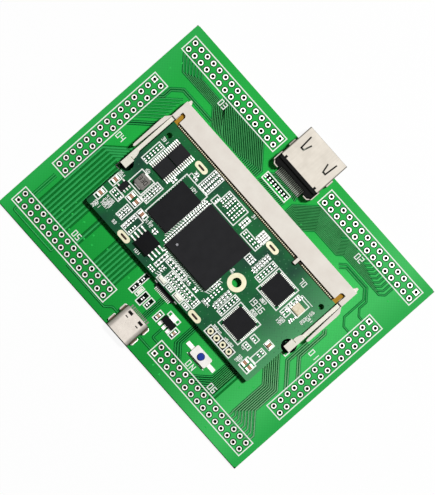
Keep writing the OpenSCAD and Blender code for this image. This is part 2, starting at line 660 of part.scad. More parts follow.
// Contact feet of the power port: middle place and width
power_feet = concat([for (side = [-1, 1], w = [[3.15, 0.5], [2.35, 0.5]]) [side * w[0], w[1]]],
                    [for (i = [0 : 7]) [(i - 3.5) * 0.5, 0.26]]);

module power_port_contacts() {
    color("gold") for (foot = power_feet)
        translate([foot[0] - foot[1] / 2, power_back_y, top_z + 0.05]) {
            cube([foot[1], 1.0, 0.15]);
            cube([foot[1], 0.2, 1.2]);
        }
}

// Chips: a moulded body and its bent leads

// One lead, from the body's side at x = 0 out to x = reach, bent down to the board
module gull_lead(reach, w, exit_z) {
    foot = reach * 0.45;
    t = 0.16;
    rotate([90, 0, 0]) translate([0, 0, -w / 2]) linear_extrude(w)
        polygon([[0, exit_z], [reach - foot, exit_z], [reach - foot + t, t],
                 [reach, t], [reach, 0], [reach - foot, 0], [reach - foot - t, exit_z - t],
                 [0, exit_z - t]]);
}

// Leads on the two sides of a body of this width, count on each side
module lead_rows(body_w, count, pitch, reach, w, exit_z) {
    for (side = [0, 180], i = [0 : count - 1]) rotate(side)
        translate([body_w / 2, (i - (count - 1) / 2) * pitch, 0]) gull_lead(reach, w, exit_z);
}

// A moulded body with a shallow dimple at pin one
module moulded_body(size, h, lift, dimple_at = undef) {
    difference() {
        translate([-size[0] / 2, -size[1] / 2, lift]) cube([size[0], size[1], h]);
        if (dimple_at != undef)
            translate([dimple_at[0], dimple_at[1], lift + h - 0.06]) cylinder(h = 1, d = 0.7);
    }
}

module regulator_body() {
    color("black") translate([regulator_at[0], regulator_at[1], top_z])
        moulded_body([4.2, 2.1], 1.5, solder_t + 0.05);
}

module regulator_leads() {
    color("silver") translate([regulator_at[0], regulator_at[1], top_z + solder_t]) {
        translate([-1.1, 1.05, 0]) cube([2.2, 1.55, 0.4]);
        for (x = [-1.55, 0, 1.55]) translate([x - 0.5, -2.45, 0]) cube([1.0, 1.4, 0.4]);
    }
}

module controller_body() {
    color("black") translate([controller_at[0], controller_at[1], top_z])
        moulded_body([controller_side, controller_side], 1.4, 0.15, [-2.6, -2.6]);
}

module controller_leads() {
    color("silver") translate([controller_at[0], controller_at[1], top_z + solder_t])
        for (turn = [0, 90]) rotate(turn)
            lead_rows(controller_side, controller_pins, controller_pitch, 1.0, 0.24, 0.8);
}

// Small two-ended parts: bodies and ends are drawn by the same placing modules

module row_of(rows) {
    for (row = rows, k = [0 : row[2] - 1])
        translate([row[0][0] + k * row[1][0], row[0][1] + k * row[1][1], 0]) rotate(row[3])
            children();
}

module each_at(places) {
    for (place = places) translate([place[0][0], place[0][1], 0]) rotate(place[1]) children();
}

module part_body(part) {
    translate([-part[0] / 2 + part[3], -part[1] / 2 + 0.02, solder_t])
        cube([part[0] - 2 * part[3], part[1] - 0.04, part[2] - 0.02]);
}

module part_ends(part) {
    for (side = [0, 1]) mirror([side, 0, 0])
        translate([part[0] / 2 - part[3], -part[1] / 2, solder_t]) cube([part[3], part[1], part[2]]);
}

module carrier_capacitors() {
    color("tan") translate([0, 0, top_z]) each_at(front_medium) part_body(medium_part);
}

module carrier_resistors() {
    color("dimgray") translate([0, 0, top_z]) {
        row_of(rear_rows) part_body(small_part);
        row_of(front_rows) part_body(small_part);
    }
}

module carrier_part_ends() {
    color("silver") translate([0, 0, top_z]) {
        row_of(rear_rows) part_ends(small_part);
        row_of(front_rows) part_ends(small_part);
        each_at(front_medium) part_ends(medium_part);
    }
}

// Press switch

switch_wall = 0.35;
dome_z = top_z + 0.7;
dome_t = 0.08;
button_z = dome_z + dome_t + button_travel + 0.05;
button_flange_d = button_d + 0.7;
cover_z = top_z + switch_h - switch_wall;

module switch_base() {
    color("whitesmoke") difference() {
        translate([switch_at[0] - switch_l / 2 + 0.3, switch_at[1] - switch_w / 2 + 0.1,
                   top_z + solder_t])
            cube([switch_l - 0.6, switch_w - 0.2, cover_z - top_z - solder_t]);
        translate([switch_at[0], switch_at[1], dome_z]) cylinder(h = switch_h, d = 2.9);
    }
}

module switch_cover() {
    color("white") difference() {
        translate([switch_at[0], switch_at[1], cover_z]) linear_extrude(switch_wall)
            rounded_plate([switch_l, switch_w], 0.5);
        translate([switch_at[0], switch_at[1], cover_z - 1])
            cylinder(h = switch_h, d = button_d + 2 * button_gap);
    }
}

module switch_button() {
    flange_h = cover_z - button_z - 0.05;
    color("mediumblue") translate([switch_at[0], switch_at[1], button_z]) {
        cylinder(h = flange_h, d = button_flange_d);
        cylinder(h = top_z + switch_h + button_rise - button_z, d = button_d);
    }
}

module switch_dome() {
    color("silver") translate([switch_at[0], switch_at[1], dome_z])
        cylinder(h = dome_t, d = 2.6);
}

module switch_legs() {
    leg_w = 1.3;
    color("silver") for (side = [0, 1])
        translate([switch_at[0], switch_at[1] - leg_w / 2 - 0.1, top_z]) mirror([side, 0, 0])
            translate([switch_l / 2 - 0.3, 0, 0]) {
                cube([2.8, leg_w, 0.2]);
                cube([0.25, leg_w, 0.9]);
            }
}

// Module socket

// Everything cut from the socket for the module, the contacts and the latches
module socket_hollows() {
    slot_x = module_w / 2 + module_gap;
    far = 1;
    window_w = 1.55;
    window_l = 2.7;
    window_r = 0.8;
    translate([-slot_x, socket_mouth_y - far, module_low_z - module_gap])
        cube([2 * slot_x, module_insert + module_gap + far, module_t + 2 * module_gap]);
    translate([-channel_x, socket_mouth_y + 0.5, slot_floor])
        cube([2 * channel_x, channel_y + 0.35 - socket_mouth_y - 0.5, slot_roof - slot_floor]);
    translate([-channel_x, socket_mouth_y - far, top_z - far])
        cube([2 * channel_x, 1.1 + far, module_lift + far]);
    translate([-channel_x, channel_y, top_z - far])
        cube([2 * channel_x, 0.35, module_lift + far]);
    translate([-channel_x, socket_mouth_y - far, top_z - far])
        cube([2 * channel_x, socket_depth + 2 * far, 0.3 + far]);
    for (side = [0, 1]) mirror([side, 0, 0]) {
        translate([module_w / 2 - 1.3, socket_mouth_y - far, module_low_z]) {
            cube([window_w, window_l + far - window_r, socket_h]);
            translate([window_r, 0, 0]) cube([window_w - window_r, window_l + far, socket_h]);
            translate([window_r, window_l + far - window_r, 0]) cylinder(h = socket_h, r = window_r);
        }
        translate([latch_inner_x + latch_w / 2 - tenon_w / 2 - pocket_gap, socket_mouth_y - far,
                   latch_z[0] + 0.3])
            cube([tenon_w + 2 * pocket_gap, 2.3 + far, latch_z[1] - latch_z[0] - 0.6]);
    }
}

// Guard arm beside a latch, seen from above
module guard_outline() {
    inner = latch_outer_x + 0.04;
    front = latch_front_y + 5.7;
    polygon([[inner, socket_mouth_y + 0.5], [socket_half, socket_mouth_y + 0.5],
             [socket_half, socket_mouth_y - 0.2], [socket_half + 1.1, socket_mouth_y - 1.7],
             [socket_half + 1.2, socket_mouth_y - 3], [socket_half + 1.15, front + 0.5],
             [socket_half + 0.9, front], [latch_outer_x + latch_room + 0.2, front],
             [latch_outer_x + latch_room, front + 0.4]]);
}

module socket_key() {
    translate([key_x - key_w / 2, socket_mouth_y - key_reach, top_z + 0.3])
        cube([key_w, module_insert + key_reach + 0.2, socket_h - 0.35]);
}

module socket_housing() {
    ear = 1.0;
    color("antiquewhite") {
        difference() {
            translate([-socket_half, socket_mouth_y, top_z])
                cube([2 * socket_half, socket_depth, socket_h]);
            socket_hollows();
        }
        socket_key();
        for (side = [0, 1]) mirror([side, 0, 0]) {
            translate([0, 0, top_z + 0.3]) linear_extrude(socket_h - 0.5) guard_outline();
            translate([0, 0, top_z]) linear_extrude(socket_h - 1)
                polygon([[socket_half - 1.6, socket_back_y], [socket_half - 0.3, socket_back_y],
                         [socket_half - 0.5, socket_back_y + ear],
                         [socket_half - 1.1, socket_back_y + ear]]);
            translate([peg_x, peg_y, 0.2]) cylinder(h = carrier_t, d = peg_d);
        }
    }
}

// Contact strips, drawn from the side: blade, riser and solder tail
module contact_strip(x) {
    translate([x + contact_w / 2, 0, 0]) rotate([0, -90, 0]) linear_extrude(contact_w) children();
}

module box_between(z0, z1, y0, y1) translate([z0, y0]) square([z1 - z0, y1 - y0]);

module socket_contacts_upper() {
    color("gold") for (x = contact_xs) contact_strip(x) {
        box_between(module_top_z + land_t + 0.02, slot_roof, socket_mouth_y + 0.8, channel_y + 0.3);
        box_between(top_z + 0.05, slot_roof, channel_y + 0.05, channel_y + 0.3);
        box_between(top_z + 0.05, top_z + 0.25, channel_y + 0.05, socket_back_y - 0.1);
    }
}

module socket_contacts_lower() {
    color("gold") for (x = contact_xs) contact_strip(x) {
        box_between(slot_floor, module_low_z - land_t - 0.02, socket_mouth_y + 0.7,
                    module_edge_y - 0.2);
        box_between(top_z + 0.05, module_low_z - land_t - 0.02, socket_mouth_y + 0.7,
                    socket_mouth_y + 0.95);
        box_between(top_z + 0.05, top_z + 0.25, socket_mouth_y - 0.6, socket_mouth_y + 0.95);
    }
}

// Latches, drawn for the right side and mirrored to the left

module latch() {
    arm_front = latch_front_y + 6.1;
    step_y = latch_front_y + 3.1;
    color("linen") {
        translate([latch_inner_x + latch_w / 2 - tenon_w / 2, socket_mouth_y - 0.5,
                   latch_z[0] + 0.5])
            cube([tenon_w, 2.5, latch_z[1] - latch_z[0] - 1.0]);
        translate([0, 0, latch_z[0]]) linear_extrude(latch_z[1] - latch_z[0] + 0.6)
            polygon([[latch_inner_x, socket_mouth_y - 0.08], [latch_outer_x, socket_mouth_y - 0.08],
                     [latch_outer_x, latch_front_y], [latch_inner_x, latch_front_y]]);
        difference() {
            translate([0, 0, hook_z[0]]) linear_extrude(hook_z[1] - hook_z[0])
                polygon([[latch_outer_x, arm_front], [latch_inner_x, arm_front],
                         [hook_x + 0.45, arm_front - 0.8], [hook_x + 0.15, arm_front - 1.9],
                         [hook_x + 0.1, step_y], [hook_x - 0.25, step_y],
                         [hook_x - 0.25, latch_front_y], [latch_outer_x, latch_front_y]]);
            translate([hook_x - 0.5, step_y - 0.05, hook_z[1] - 0.5]) cube([1.7, 0.25, 1]);
        }
        translate([hook_x + 0.1, latch_front_y + 0.1, module_low_z + 0.1])
            cube([latch_outer_x - hook_x - 0.2, 1.8, hook_z[0] - module_low_z]);
    }
}

module latch_left() mirror([1, 0, 0]) latch();
module latch_right() latch();

// Logic module

module module_outline() {
    length = module_edge_y + module_front;
    difference() {
        translate([0, module_edge_y - length / 2]) rounded_plate([module_w, length], 0.6);
        translate([key_x - key_w / 2 - 0.25, socket_mouth_y - key_reach - 0.3])
            square([key_w + 0.5, module_insert + key_reach + 1]);
    }
}

module module_board() {
    deep = module_t + 2;
    color("darkgreen") difference() {
        translate([0, 0, module_low_z]) linear_extrude(module_t) module_outline();
        translate([0, 0, module_low_z - 1]) {
            for (side = [-1, 1]) translate([side * module_w / 2, notch_y, 0])
                cylinder(h = deep, r = notch_r);
            for (at = peg_holes_at) translate([at[0], at[1], 0]) cylinder(h = deep, d = 1.65);
            translate([mount_hole_at[0], mount_hole_at[1], 0])
                cylinder(h = deep, d = mount_hole_d);
            for (i = [0 : probe_count - 1]) translate([probe_x(i), probe_row_at[1], 0])
                cylinder(h = deep, d = probe_hole_d);
            for (at = slot_holes_at) translate([at[0], at[1], 0]) linear_extrude(deep)
                stadium(slot_hole);
        }
    }
}

function probe_x(i) = probe_row_at[0] + (i - (probe_count - 1) / 2) * pin_pitch;

// Lands round a hole, on both faces of the module
module on_both_faces() for (z = [-land_t, module_t]) translate([0, 0, z]) linear_extrude(land_t)
    children();

module eyelet(land_d, hole_d) on_both_faces() difference() {
    circle(d = land_d);
    circle(d = hole_d);
}

module slot_eyelet() on_both_faces() difference() {
    stadium(slot_land);
    stadium(slot_hole);
}

module module_plated_holes() {
    color("wheat") translate([0, 0, module_low_z]) {
        translate([mount_hole_at[0], mount_hole_at[1], 0]) eyelet(mount_land_d, mount_hole_d);
        for (i = [0 : probe_count - 1]) translate([probe_x(i), probe_row_at[1], 0])
            eyelet(probe_land_d, probe_hole_d);
        for (at = slot_holes_at) translate([at[0], at[1], 0]) slot_eyelet();
    }
}

module fingers(z) {
    color("gold") for (x = contact_xs)
        translate([x - 0.2, module_edge_y - 0.25 - finger_l, z]) cube([0.4, finger_l, land_t]);
}

module edge_contacts_top() fingers(module_top_z);
module edge_contacts_bottom() fingers(module_low_z - land_t);

module on_module(at = [0, 0]) translate([at[0], at[1], module_top_z]) children();

// Chips on solder balls
ball_h = 0.35;
substrate_t = 0.35;

module ball_ring(count, pitch) {
    for (i = [0 : count[0] - 1], j = [0 : count[1] - 1])
        if (i == 0 || j == 0 || i == count[0] - 1 || j == count[1] - 1)
            translate([(i - (count[0] - 1) / 2) * pitch, (j - (count[1] - 1) / 2) * pitch, 0])
                cylinder(h = ball_h, d = pitch * 0.5, $fn = 16);
}

module chip_solder_balls() {
    color("silver") {
        on_module(main_chip_at) ball_ring([16, 16], 1.0);
        on_module(memory_at) ball_ring([8, 14], 0.8);
    }
}

module main_chip_substrate() {
    color("darkslategray") on_module(main_chip_at)
        moulded_body([main_chip, main_chip], substrate_t, ball_h);
}

module main_chip_cap() {
    dimple = -main_chip / 2 + 2.1;
    color("black") on_module(main_chip_at)
        moulded_body([main_chip, main_chip], main_cap_h, ball_h + substrate_t, [dimple, dimple]);
}

module memory_substrate() {
    color("darkslategray") on_module(memory_at) moulded_body(memory_size, substrate_t, ball_h);
}

module memory_cap() {
    color("black") on_module(memory_at) moulded_body(memory_size, 0.55, ball_h + substrate_t);
}

module flash_body() {
    color("black") on_module(flash_at) moulded_body(flash_size, 1.7, 0.12, [-1.9, 1.8]);
}

module flash_leads() {
    color("silver") on_module(flash_at) translate([0, 0, solder_t])
        lead_rows(flash_size[0], 4, 1.27, 1.5, 0.42, 0.9);
}

module buffer_bodies() {
    color("black") for (at = buffer_at) on_module(at) moulded_body(buffer_size, 1.0, 0.12, [-1.5, -1.9]);
}

module buffer_leads() {
    color("silver") for (at = buffer_at) on_module(at) translate([0, 0, solder_t])
        lead_rows(buffer_size[0], 8, 0.65, 1.1, 0.3, 0.6);
}

module interface_bodies() {
    color("black") for (at = interface_at) on_module(at)
        moulded_body([interface_side, interface_side], 0.85, solder_t, [-2.6, 2.4]);
}

module interface_lands() {
    color("silver") for (at = interface_at, turn = [0 : 90 : 270], i = [0 : 11]) on_module(at)
        rotate(turn) translate([interface_side / 2, (i - 5.5) * 0.5 - 0.13, print_t + 0.01])
            cube([0.5, 0.26, 0.16]);
}

module inductor_core() {
    color("gray") on_module(inductor_at) translate([0, 0, solder_t]) linear_extrude(1.9)
        rounded_plate([inductor_side - 0.3, inductor_side - 0.3], 0.5);
}

module inductor_ends() {
    color("silver") on_module(inductor_at) for (side = [0, 1]) mirror([0, side, 0])
        translate([-1.1, inductor_side / 2 - 0.15, solder_t]) cube([2.2, 0.3, 0.7]);
}

module converter_body() {
    color("black") on_module(converter_at) moulded_body(converter_size, 1.1, 0.12);
}

module converter_leads() {
    color("silver") on_module(converter_at) translate([0, 0, solder_t]) {
        for (i = [-1, 0, 1]) translate([converter_size[0] / 2, i * 0.95, 0])
            gull_lead(0.75, 0.4, 0.7);
        for (i = [-1, 1]) rotate(180) translate([converter_size[0] / 2, i * 0.95, 0])
            gull_lead(0.75, 0.4, 0.7);
    }
}

module oscillator_base() {
    color("tan") on_module(oscillator_at) moulded_body(oscillator_size, 0.6, solder_t);
}

module oscillator_lid() {
    color("wheat") on_module(oscillator_at) translate([0, 0, solder_t + 0.6]) linear_extrude(0.25)
        rounded_plate(oscillator_size - [0.4, 0.4], 0.3);
}

module module_capacitors() {
    color("sienna") on_module() each_at(module_large) part_body(large_part);
}

module module_resistors() {
    color("dimgray") on_module() row_of(module_rows) part_body(small_part);
}

module module_part_ends() {
    color("silver") on_module() {
        row_of(module_rows) part_ends(small_part);
        each_at(module_large) part_ends(large_part);
    }
}

// Two lamps on the module, and one on the carrier that stands across
module lamp_block() {
    translate([-lamp_size[0] / 2, -lamp_size[1] / 2, solder_t])
        cube([lamp_size[0], lamp_size[1], 0.7]);
}

module indicator_lamps() {
    color("white") {
        for (at = lamps_at) on_module(at) lamp_block();
        translate([front_lamp_at[0], front_lamp_at[1], top_z]) rotate(90)
            scale([0.8, 0.8, 0.8]) lamp_block();
    }
}

// Four framed cells round the probe holes
module probe_frames() {
    half = pin_pitch / 2 + print_line / 2;
    for (i = [0 : probe_count - 1])
        frame_line([probe_x(i) - half, probe_row_at[1] - half],
                   [probe_x(i) + half, probe_row_at[1] + half]);
}

module module_print() {
    color("white") on_module() linear_extrude(print_t) difference() {
        union() {
            for (frame = module_frames) frame_line(frame[0], frame[1]);
            probe_frames();
            for (text = module_digits) number(text[0], text[1], text[2]);
        }
        for (at = slot_holes_at) translate(at) stadium(slot_land + [0.3, 0.3]);
    }
}

carrier_board();
header_pads(rear_left_field);  // header_pads_rear_left
header_pads(rear_right_field);  // header_pads_rear_right
header_pads(left_field);  // header_pads_left
header_pads(right_field);  // header_pads_right
header_pads(front_left_field);  // header_pads_front_left
header_pads(front_right_field);  // header_pads_front_right
carrier_print();
carrier_tracks();
video_port_shell();
video_port_block();
video_port_contacts();
power_port_shell();
power_port_tongue();
power_port_contacts();
regulator_body();
regulator_leads();
controller_body();
controller_leads();
carrier_capacitors();
carrier_resistors();
carrier_part_ends();
switch_base();
switch_cover();
switch_button();
switch_dome();
switch_legs();
socket_housing();
socket_contacts_upper();
socket_contacts_lower();
latch_left();
latch_right();
module_board();
module_plated_holes();
edge_contacts_top();
edge_contacts_bottom();
main_chip_substrate();
main_chip_cap();
memory_substrate();
memory_cap();
chip_solder_balls();
flash_body();
flash_leads();
buffer_bodies();
buffer_leads();
interface_bodies();
interface_lands();
inductor_core();
inductor_ends();
converter_body();
converter_leads();
oscillator_base();
oscillator_lid();
module_capacitors();
module_resistors();
module_part_ends();
indicator_lamps();
module_print();
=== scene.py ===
"""Looks of a green carrier board that holds a small logic module in a latched socket.

Each sub-assembly is a class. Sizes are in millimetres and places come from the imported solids.
"""

import logging
import math
from collections.abc import Callable, Iterable
from dataclasses import dataclass, replace
from enum import Enum
from functools import cached_property

import bmesh
import bpy
from mathutils import Matrix, Vector


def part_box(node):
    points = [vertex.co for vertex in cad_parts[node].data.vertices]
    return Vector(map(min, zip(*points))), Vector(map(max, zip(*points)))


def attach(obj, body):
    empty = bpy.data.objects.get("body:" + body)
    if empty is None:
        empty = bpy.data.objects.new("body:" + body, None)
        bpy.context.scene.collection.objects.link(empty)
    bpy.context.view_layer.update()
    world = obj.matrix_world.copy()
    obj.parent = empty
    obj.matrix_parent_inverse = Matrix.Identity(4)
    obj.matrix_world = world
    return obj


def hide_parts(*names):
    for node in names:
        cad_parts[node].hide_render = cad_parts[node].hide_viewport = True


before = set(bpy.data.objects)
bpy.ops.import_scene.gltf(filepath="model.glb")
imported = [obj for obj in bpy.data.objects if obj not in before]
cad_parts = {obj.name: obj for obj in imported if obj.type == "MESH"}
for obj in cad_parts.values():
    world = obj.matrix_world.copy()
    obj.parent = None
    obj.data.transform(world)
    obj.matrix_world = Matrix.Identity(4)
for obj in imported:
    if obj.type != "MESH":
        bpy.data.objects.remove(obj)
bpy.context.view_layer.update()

MM = 0.001
PHOTO_SIZE = (435, 495)
LOG = logging.getLogger("board")

# Sharper folds than these, in degrees, stay sharp: between flat faces, and on turned shapes
FLAT_FOLD = 10.0
TURNED_FOLD = 32.0
# Folds up to the first, in degrees, are one flat face, and above the second are rounded
LEVEL_FOLD = 0.6
ROUNDED_FOLD = 40.0
# The share of its least size that a small block loses at its edges, the facets of a bend, and
# the seed of the small random turns
BROKEN_EDGE = 0.12
BEND_STEPS = 3
SWAY_SEED = 7
# Points closer than these, in metres, are one: of a solid's loose triangles, and of a bend
WELD = 2e-7
MERGE = 1e-6
# The part of a noise's range that its values mostly fill: for slow patches, and for grain
PATCH_SPAN = {"From Min": 0.3, "From Max": 0.7}
GRAIN_SPAN = {"From Min": 0.25, "From Max": 0.75}
WHITE = (1.0, 1.0, 1.0, 1.0)

Point = tuple[float, float]
Triple = tuple[float, float, float]
Line = list[Point]
Builder = Callable[[bmesh.types.BMesh], object]


class Body(Enum):
    """The rigid bodies that a piece can ride on."""

    BOARD = "board"
    BUTTON = "button"
    LEFT_LATCH = "left_latch"
    RIGHT_LATCH = "right_latch"


class Slot(Enum):
    """The record's material slots, one given with each new piece."""

    CARRIER_MASK = "carrier_mask"
    MODULE_MASK = "module_mask"
    TIN = "tin"
    GOLD = "gold"
    PRINT = "print"
    TRACK = "track"
    SHELL = "shell_steel"
    BLACK = "black_moulding"
    IVORY = "ivory_moulding"
    WHITE = "white_moulding"
    BLUE = "blue_moulding"
    CHIP = "chip_black"
    FERRITE = "ferrite"
    DARK = "ceramic_dark"
    CREAM = "ceramic_cream"
    LAMP = "lamp_white"


def linear(code: str) -> tuple[float, float, float, float]:
    """Turns an sRGB hex colour into a linear one.

    Args:
        code: Six hex digits, such as "22AB46".

    Returns:
        Red, green, blue and an alpha of 1.
    """
    parts = [int(code[i : i + 2], 16) / 255 for i in (0, 2, 4)]
    curve = [c / 12.92 if c <= 0.04045 else ((c + 0.055) / 1.055) ** 2.4 for c in parts]
    return (curve[0], curve[1], curve[2], 1.0)


def add_node(
    tree: bpy.types.NodeTree, kind: str, links: dict | None = None, **settings: str | bool
) -> bpy.types.Node:
    """Adds one node to a tree, sets it up and links its inputs.

    Args:
        tree: The tree that gets the node.
        kind: The node's type name.
        links: Input name or number, to an output socket or a constant.
        settings: Properties of the node.

    Returns:
        The new node.
    """
    node = tree.nodes.new(kind)
    for key, value in settings.items():
        setattr(node, key, value)
    for key, value in (links or {}).items():
        if isinstance(value, bpy.types.NodeSocket):
            tree.links.new(value, node.inputs[key])
        else:
            node.inputs[key].default_value = value
    return node


def emptied(owner: bpy.types.Material | bpy.types.World) -> bpy.types.NodeTree:
    """Gives the node tree of a material or a world, with nothing in it.

    Args:
        owner: The material or world.

    Returns:
        Its tree.
    """
    owner.use_nodes = True
    owner.node_tree.nodes.clear()
    return owner.node_tree


@dataclass(frozen=True)
class Finish:
    """A real material and how its surface was made, as a node material.

    A slow noise mixes the base colour with its shade, and a fine one gives grain, uneven gloss
    and relief. The stretch draws the grain out along an axis, as brushing does. Where a front or
    right colour is given, the surface drifts to it along Y or X: a front colour is painted shade,
    and a right colour a painted sheen. A rim colour comes in towards both sides and goes again
    past them; on the shells it is painted shade in their folds.
    """

    name: str
    base: str
    shade: str
    roughness: float
    metallic: float = 0.0
    specular: float = 0.5
    patch_mm: float = 6.0
    grain_mm: float = 0.3
    relief_mm: float = 0.0
    relief_share: float = 0.6
    gloss_spread: float = 0.06
    least_roughness: float = 0.03
    right: str = ""
    right_mm: Point = (26.0, 44.0)
    front: str = ""
    front_mm: Point = (-8.0, -38.0)
    rim: str = ""
    rim_mm: Point = (7.1, 7.35)
    side_mm: Point = (7.5, 7.6)
    stretch: Triple = (1.0, 1.0, 1.0)

    def tinted(self, name: str, base: str, shade: str, **changes: float | str | Triple) -> "Finish":
        """Gives the same finish in other colours.

        Args:
            name: The new finish's name.
            base: Its base colour.
            shade: The colour of its patches.
            changes: Other fields that differ.

        Returns:
            The new finish.
        """
        return replace(self, name=name, base=base, shade=shade, **changes)

    def colour(
        self, tree: bpy.types.NodeTree, place: bpy.types.NodeSocket
    ) -> bpy.types.NodeSocket:
        """Builds the colour of the surface.

        Args:
            tree: The material's tree.
            place: Object coordinates.

        Returns:
            The colour's socket.
        """
        scale = 1 / (self.patch_mm * MM)
        patches = add_node(
            tree, "ShaderNodeTexNoise", {"Vector": place, "Scale": scale, "Detail": 2.0}
        )
        spread = add_node(tree, "ShaderNodeMapRange", {"Value": patches.outputs[0], **PATCH_SPAN})
        colours = {"Color1": linear(self.base), "Color2": linear(self.shade)}
        mixed = add_node(tree, "ShaderNodeMixRGB", {"Fac": spread.outputs[0], **colours})
        apart = add_node(tree, "ShaderNodeVectorMath", {0: place}, operation="ABSOLUTE")
        # Painted light: the front drift is shade, the right drift a sheen, and a shell's rim is
        # shade in its folds
        for where, axis, (start, end), code in (
            (place, "Y", self.front_mm, self.front),
            (place, "X", self.right_mm, self.right),
            (apart.outputs[0], "X", self.rim_mm, self.rim),
            (apart.outputs[0], "X", self.side_mm, self.rim and self.base),
        ):
            if not code:
                continue
            along = add_node(tree, "ShaderNodeSeparateXYZ", {"Vector": where}).outputs[axis]
            limits = {"From Min": start * MM, "From Max": end * MM}
            share = add_node(tree, "ShaderNodeMapRange", {"Value": along, **limits})
            colours = {"Color1": mixed.outputs[0], "Color2": linear(code)}
            mixed = add_node(tree, "ShaderNodeMixRGB", {"Fac": share.outputs[0], **colours})
        return mixed.outputs[0]

    def material(self) -> bpy.types.Material:
        """Gives the finish's node material.

        Returns:
            The material, made on the first use of its name.
        """
        made = bpy.data.materials.get(self.name)
        if made:
            return made
        made = bpy.data.materials.new(self.name)
        made.diffuse_color = linear(self.base)
        tree = emptied(made)
        place = add_node(tree, "ShaderNodeTexCoord").outputs["Object"]
        drawn = add_node(tree, "ShaderNodeMapping", {"Vector": place, "Scale": self.stretch})
        grain = add_node(
            tree,
            "ShaderNodeTexNoise",
            {"Vector": drawn.outputs[0], "Scale": 1 / (self.grain_mm * MM), "Detail": 3.0},
        )
        gloss = add_node(
            tree,
            "ShaderNodeMapRange",
            {
                "Value": grain.outputs[0],
                "To Min": max(self.least_roughness, self.roughness - self.gloss_spread),
                "To Max": min(1.0, self.roughness + self.gloss_spread),
                **GRAIN_SPAN,
            },
        )
        shader = add_node(
            tree,
            "ShaderNodeBsdfPrincipled",
            {
                "Base Color": self.colour(tree, place),
                "Metallic": self.metallic,
                "Roughness": gloss.outputs[0],
                "Specular IOR Level": self.specular,
            },
        )
        if self.relief_mm:
            depth = {"Distance": self.relief_mm * MM, "Strength": self.relief_share}
            relief = add_node(tree, "ShaderNodeBump", {"Height": grain.outputs[0], **depth})
            tree.links.new(relief.outputs[0], shader.inputs["Normal"])
        add_node(tree, "ShaderNodeOutputMaterial", {"Surface": shader.outputs[0]})
        return made


@dataclass(frozen=True)
class BoardFinish(Finish):
    """Solder mask over the copper of a circuit board, with bare glass laminate at the cut edges.

    Between the two heights, less the lap, the surface is the cut edge, where layers of glass
    cloth show. Past the given Y the mask ends and the amber laminate is bare.
    """

    low_mm: float = 0.0
    high_mm: float = 1.6
    lap_mm: float = 0.04
    core: str = "B7AC72"
    core_shade: str = "8E7F45"
    strands_per_m: float = 1100.0
    layers: float = 6.0
    bare: str = "A77C1E"
    bare_from_mm: float = 500.0
    cloth_mm: float = 0.5
    cloth_dim: float = 0.94

    def colour(
        self, tree: bpy.types.NodeTree, place: bpy.types.NodeSocket
    ) -> bpy.types.NodeSocket:
        """Builds the mask's colour, the cut edge and the bare strip.

        Args:
            tree: The material's tree.
            place: Object coordinates.

        Returns:
            The colour's socket.
        """
        mask = super().colour(tree, place)
        dim = (self.cloth_dim, self.cloth_dim, self.cloth_dim, 1.0)
        squares = {"Scale": 1 / (self.cloth_mm * MM), "Color1": WHITE, "Color2": dim}
        cloth = add_node(tree, "ShaderNodeTexChecker", {"Vector": place, **squares})
        woven = add_node(
            tree,
            "ShaderNodeMixRGB",
            {"Fac": 1.0, "Color1": mask, "Color2": cloth.outputs[0]},
            blend_type="MULTIPLY",
        )
        axes = add_node(tree, "ShaderNodeSeparateXYZ", {"Vector": place}).outputs
        above, below, beyond = (
            add_node(tree, "ShaderNodeMath", {0: axes[axis], 1: limit * MM}, operation=test)
            for axis, limit, test in (
                ("Z", self.low_mm + self.lap_mm, "GREATER_THAN"),
                ("Z", self.high_mm - self.lap_mm, "LESS_THAN"),
                ("Y", self.bare_from_mm, "GREATER_THAN"),
            )
        )
        inside = add_node(
            tree, "ShaderNodeMath", {0: above.outputs[0], 1: below.outputs[0]}, operation="MULTIPLY"
        )
        flat = add_node(
            tree, "ShaderNodeMapping", {"Vector": place, "Scale": (1.0, 1.0, self.layers)}
        )
        strands = add_node(
            tree,
            "ShaderNodeTexNoise",
            {"Vector": flat.outputs[0], "Scale": self.strands_per_m, "Detail": 4.0},
        )
        colours = {"Color1": linear(self.core), "Color2": linear(self.core_shade)}
        core = add_node(tree, "ShaderNodeMixRGB", {"Fac": strands.outputs[0], **colours})
        colours = {"Color1": woven.outputs[0], "Color2": core.outputs[0]}
        edged = add_node(tree, "ShaderNodeMixRGB", {"Fac": inside.outputs[0], **colours})
        colours = {"Color1": edged.outputs[0], "Color2": linear(self.bare)}
        ended = add_node(tree, "ShaderNodeMixRGB", {"Fac": beyond.outputs[0], **colours})
        return ended.outputs[0]


# Liquid solder mask, screen-coated over a copper pour: a saturated green with a soft gloss
# Painted paler towards the right, a painted sheen, and darker towards the front, painted shade;
# towards both side edges it drifts to a duller green
CARRIER_MASK = BoardFinish(
    "green_solder_mask_screen_coated",
    "14AD40",
    "11A23A",
    0.38,
    specular=0.08,
    patch_mm=22.0,
    grain_mm=0.35,
    relief_mm=0.004,
    right="3ABA5A",
    right_mm=(12.0, 37.0),
    front="068E30",
    rim="22A848",
    rim_mm=(41.0, 48.5),
    side_mm=(60.0, 61.0),
)
# The same kind of mask, dark green, over a fine-pitch board: deeper and a little glossier
# Painted paler towards the right: a painted sheen
MODULE_MASK = BoardFinish(
    "dark_green_solder_mask_screen_coated",
    "13402E",
    "0F6832",
    0.34,
    specular=0.08,
    patch_mm=7.0,
    relief_mm=0.003,
    right="54A06A",
    right_mm=(19.0, 37.0),
    low_mm=4.3,
    high_mm=5.3,
    bare_from_mm=13.95,
)
# Mask where the copper is etched away beside wide tracks: darker, since no copper shines through
WIDE_GAP = Finish(
    "green_solder_mask_in_wide_gaps", "027226", "026A23", 0.42, specular=0.08, patch_mm=10.0
)
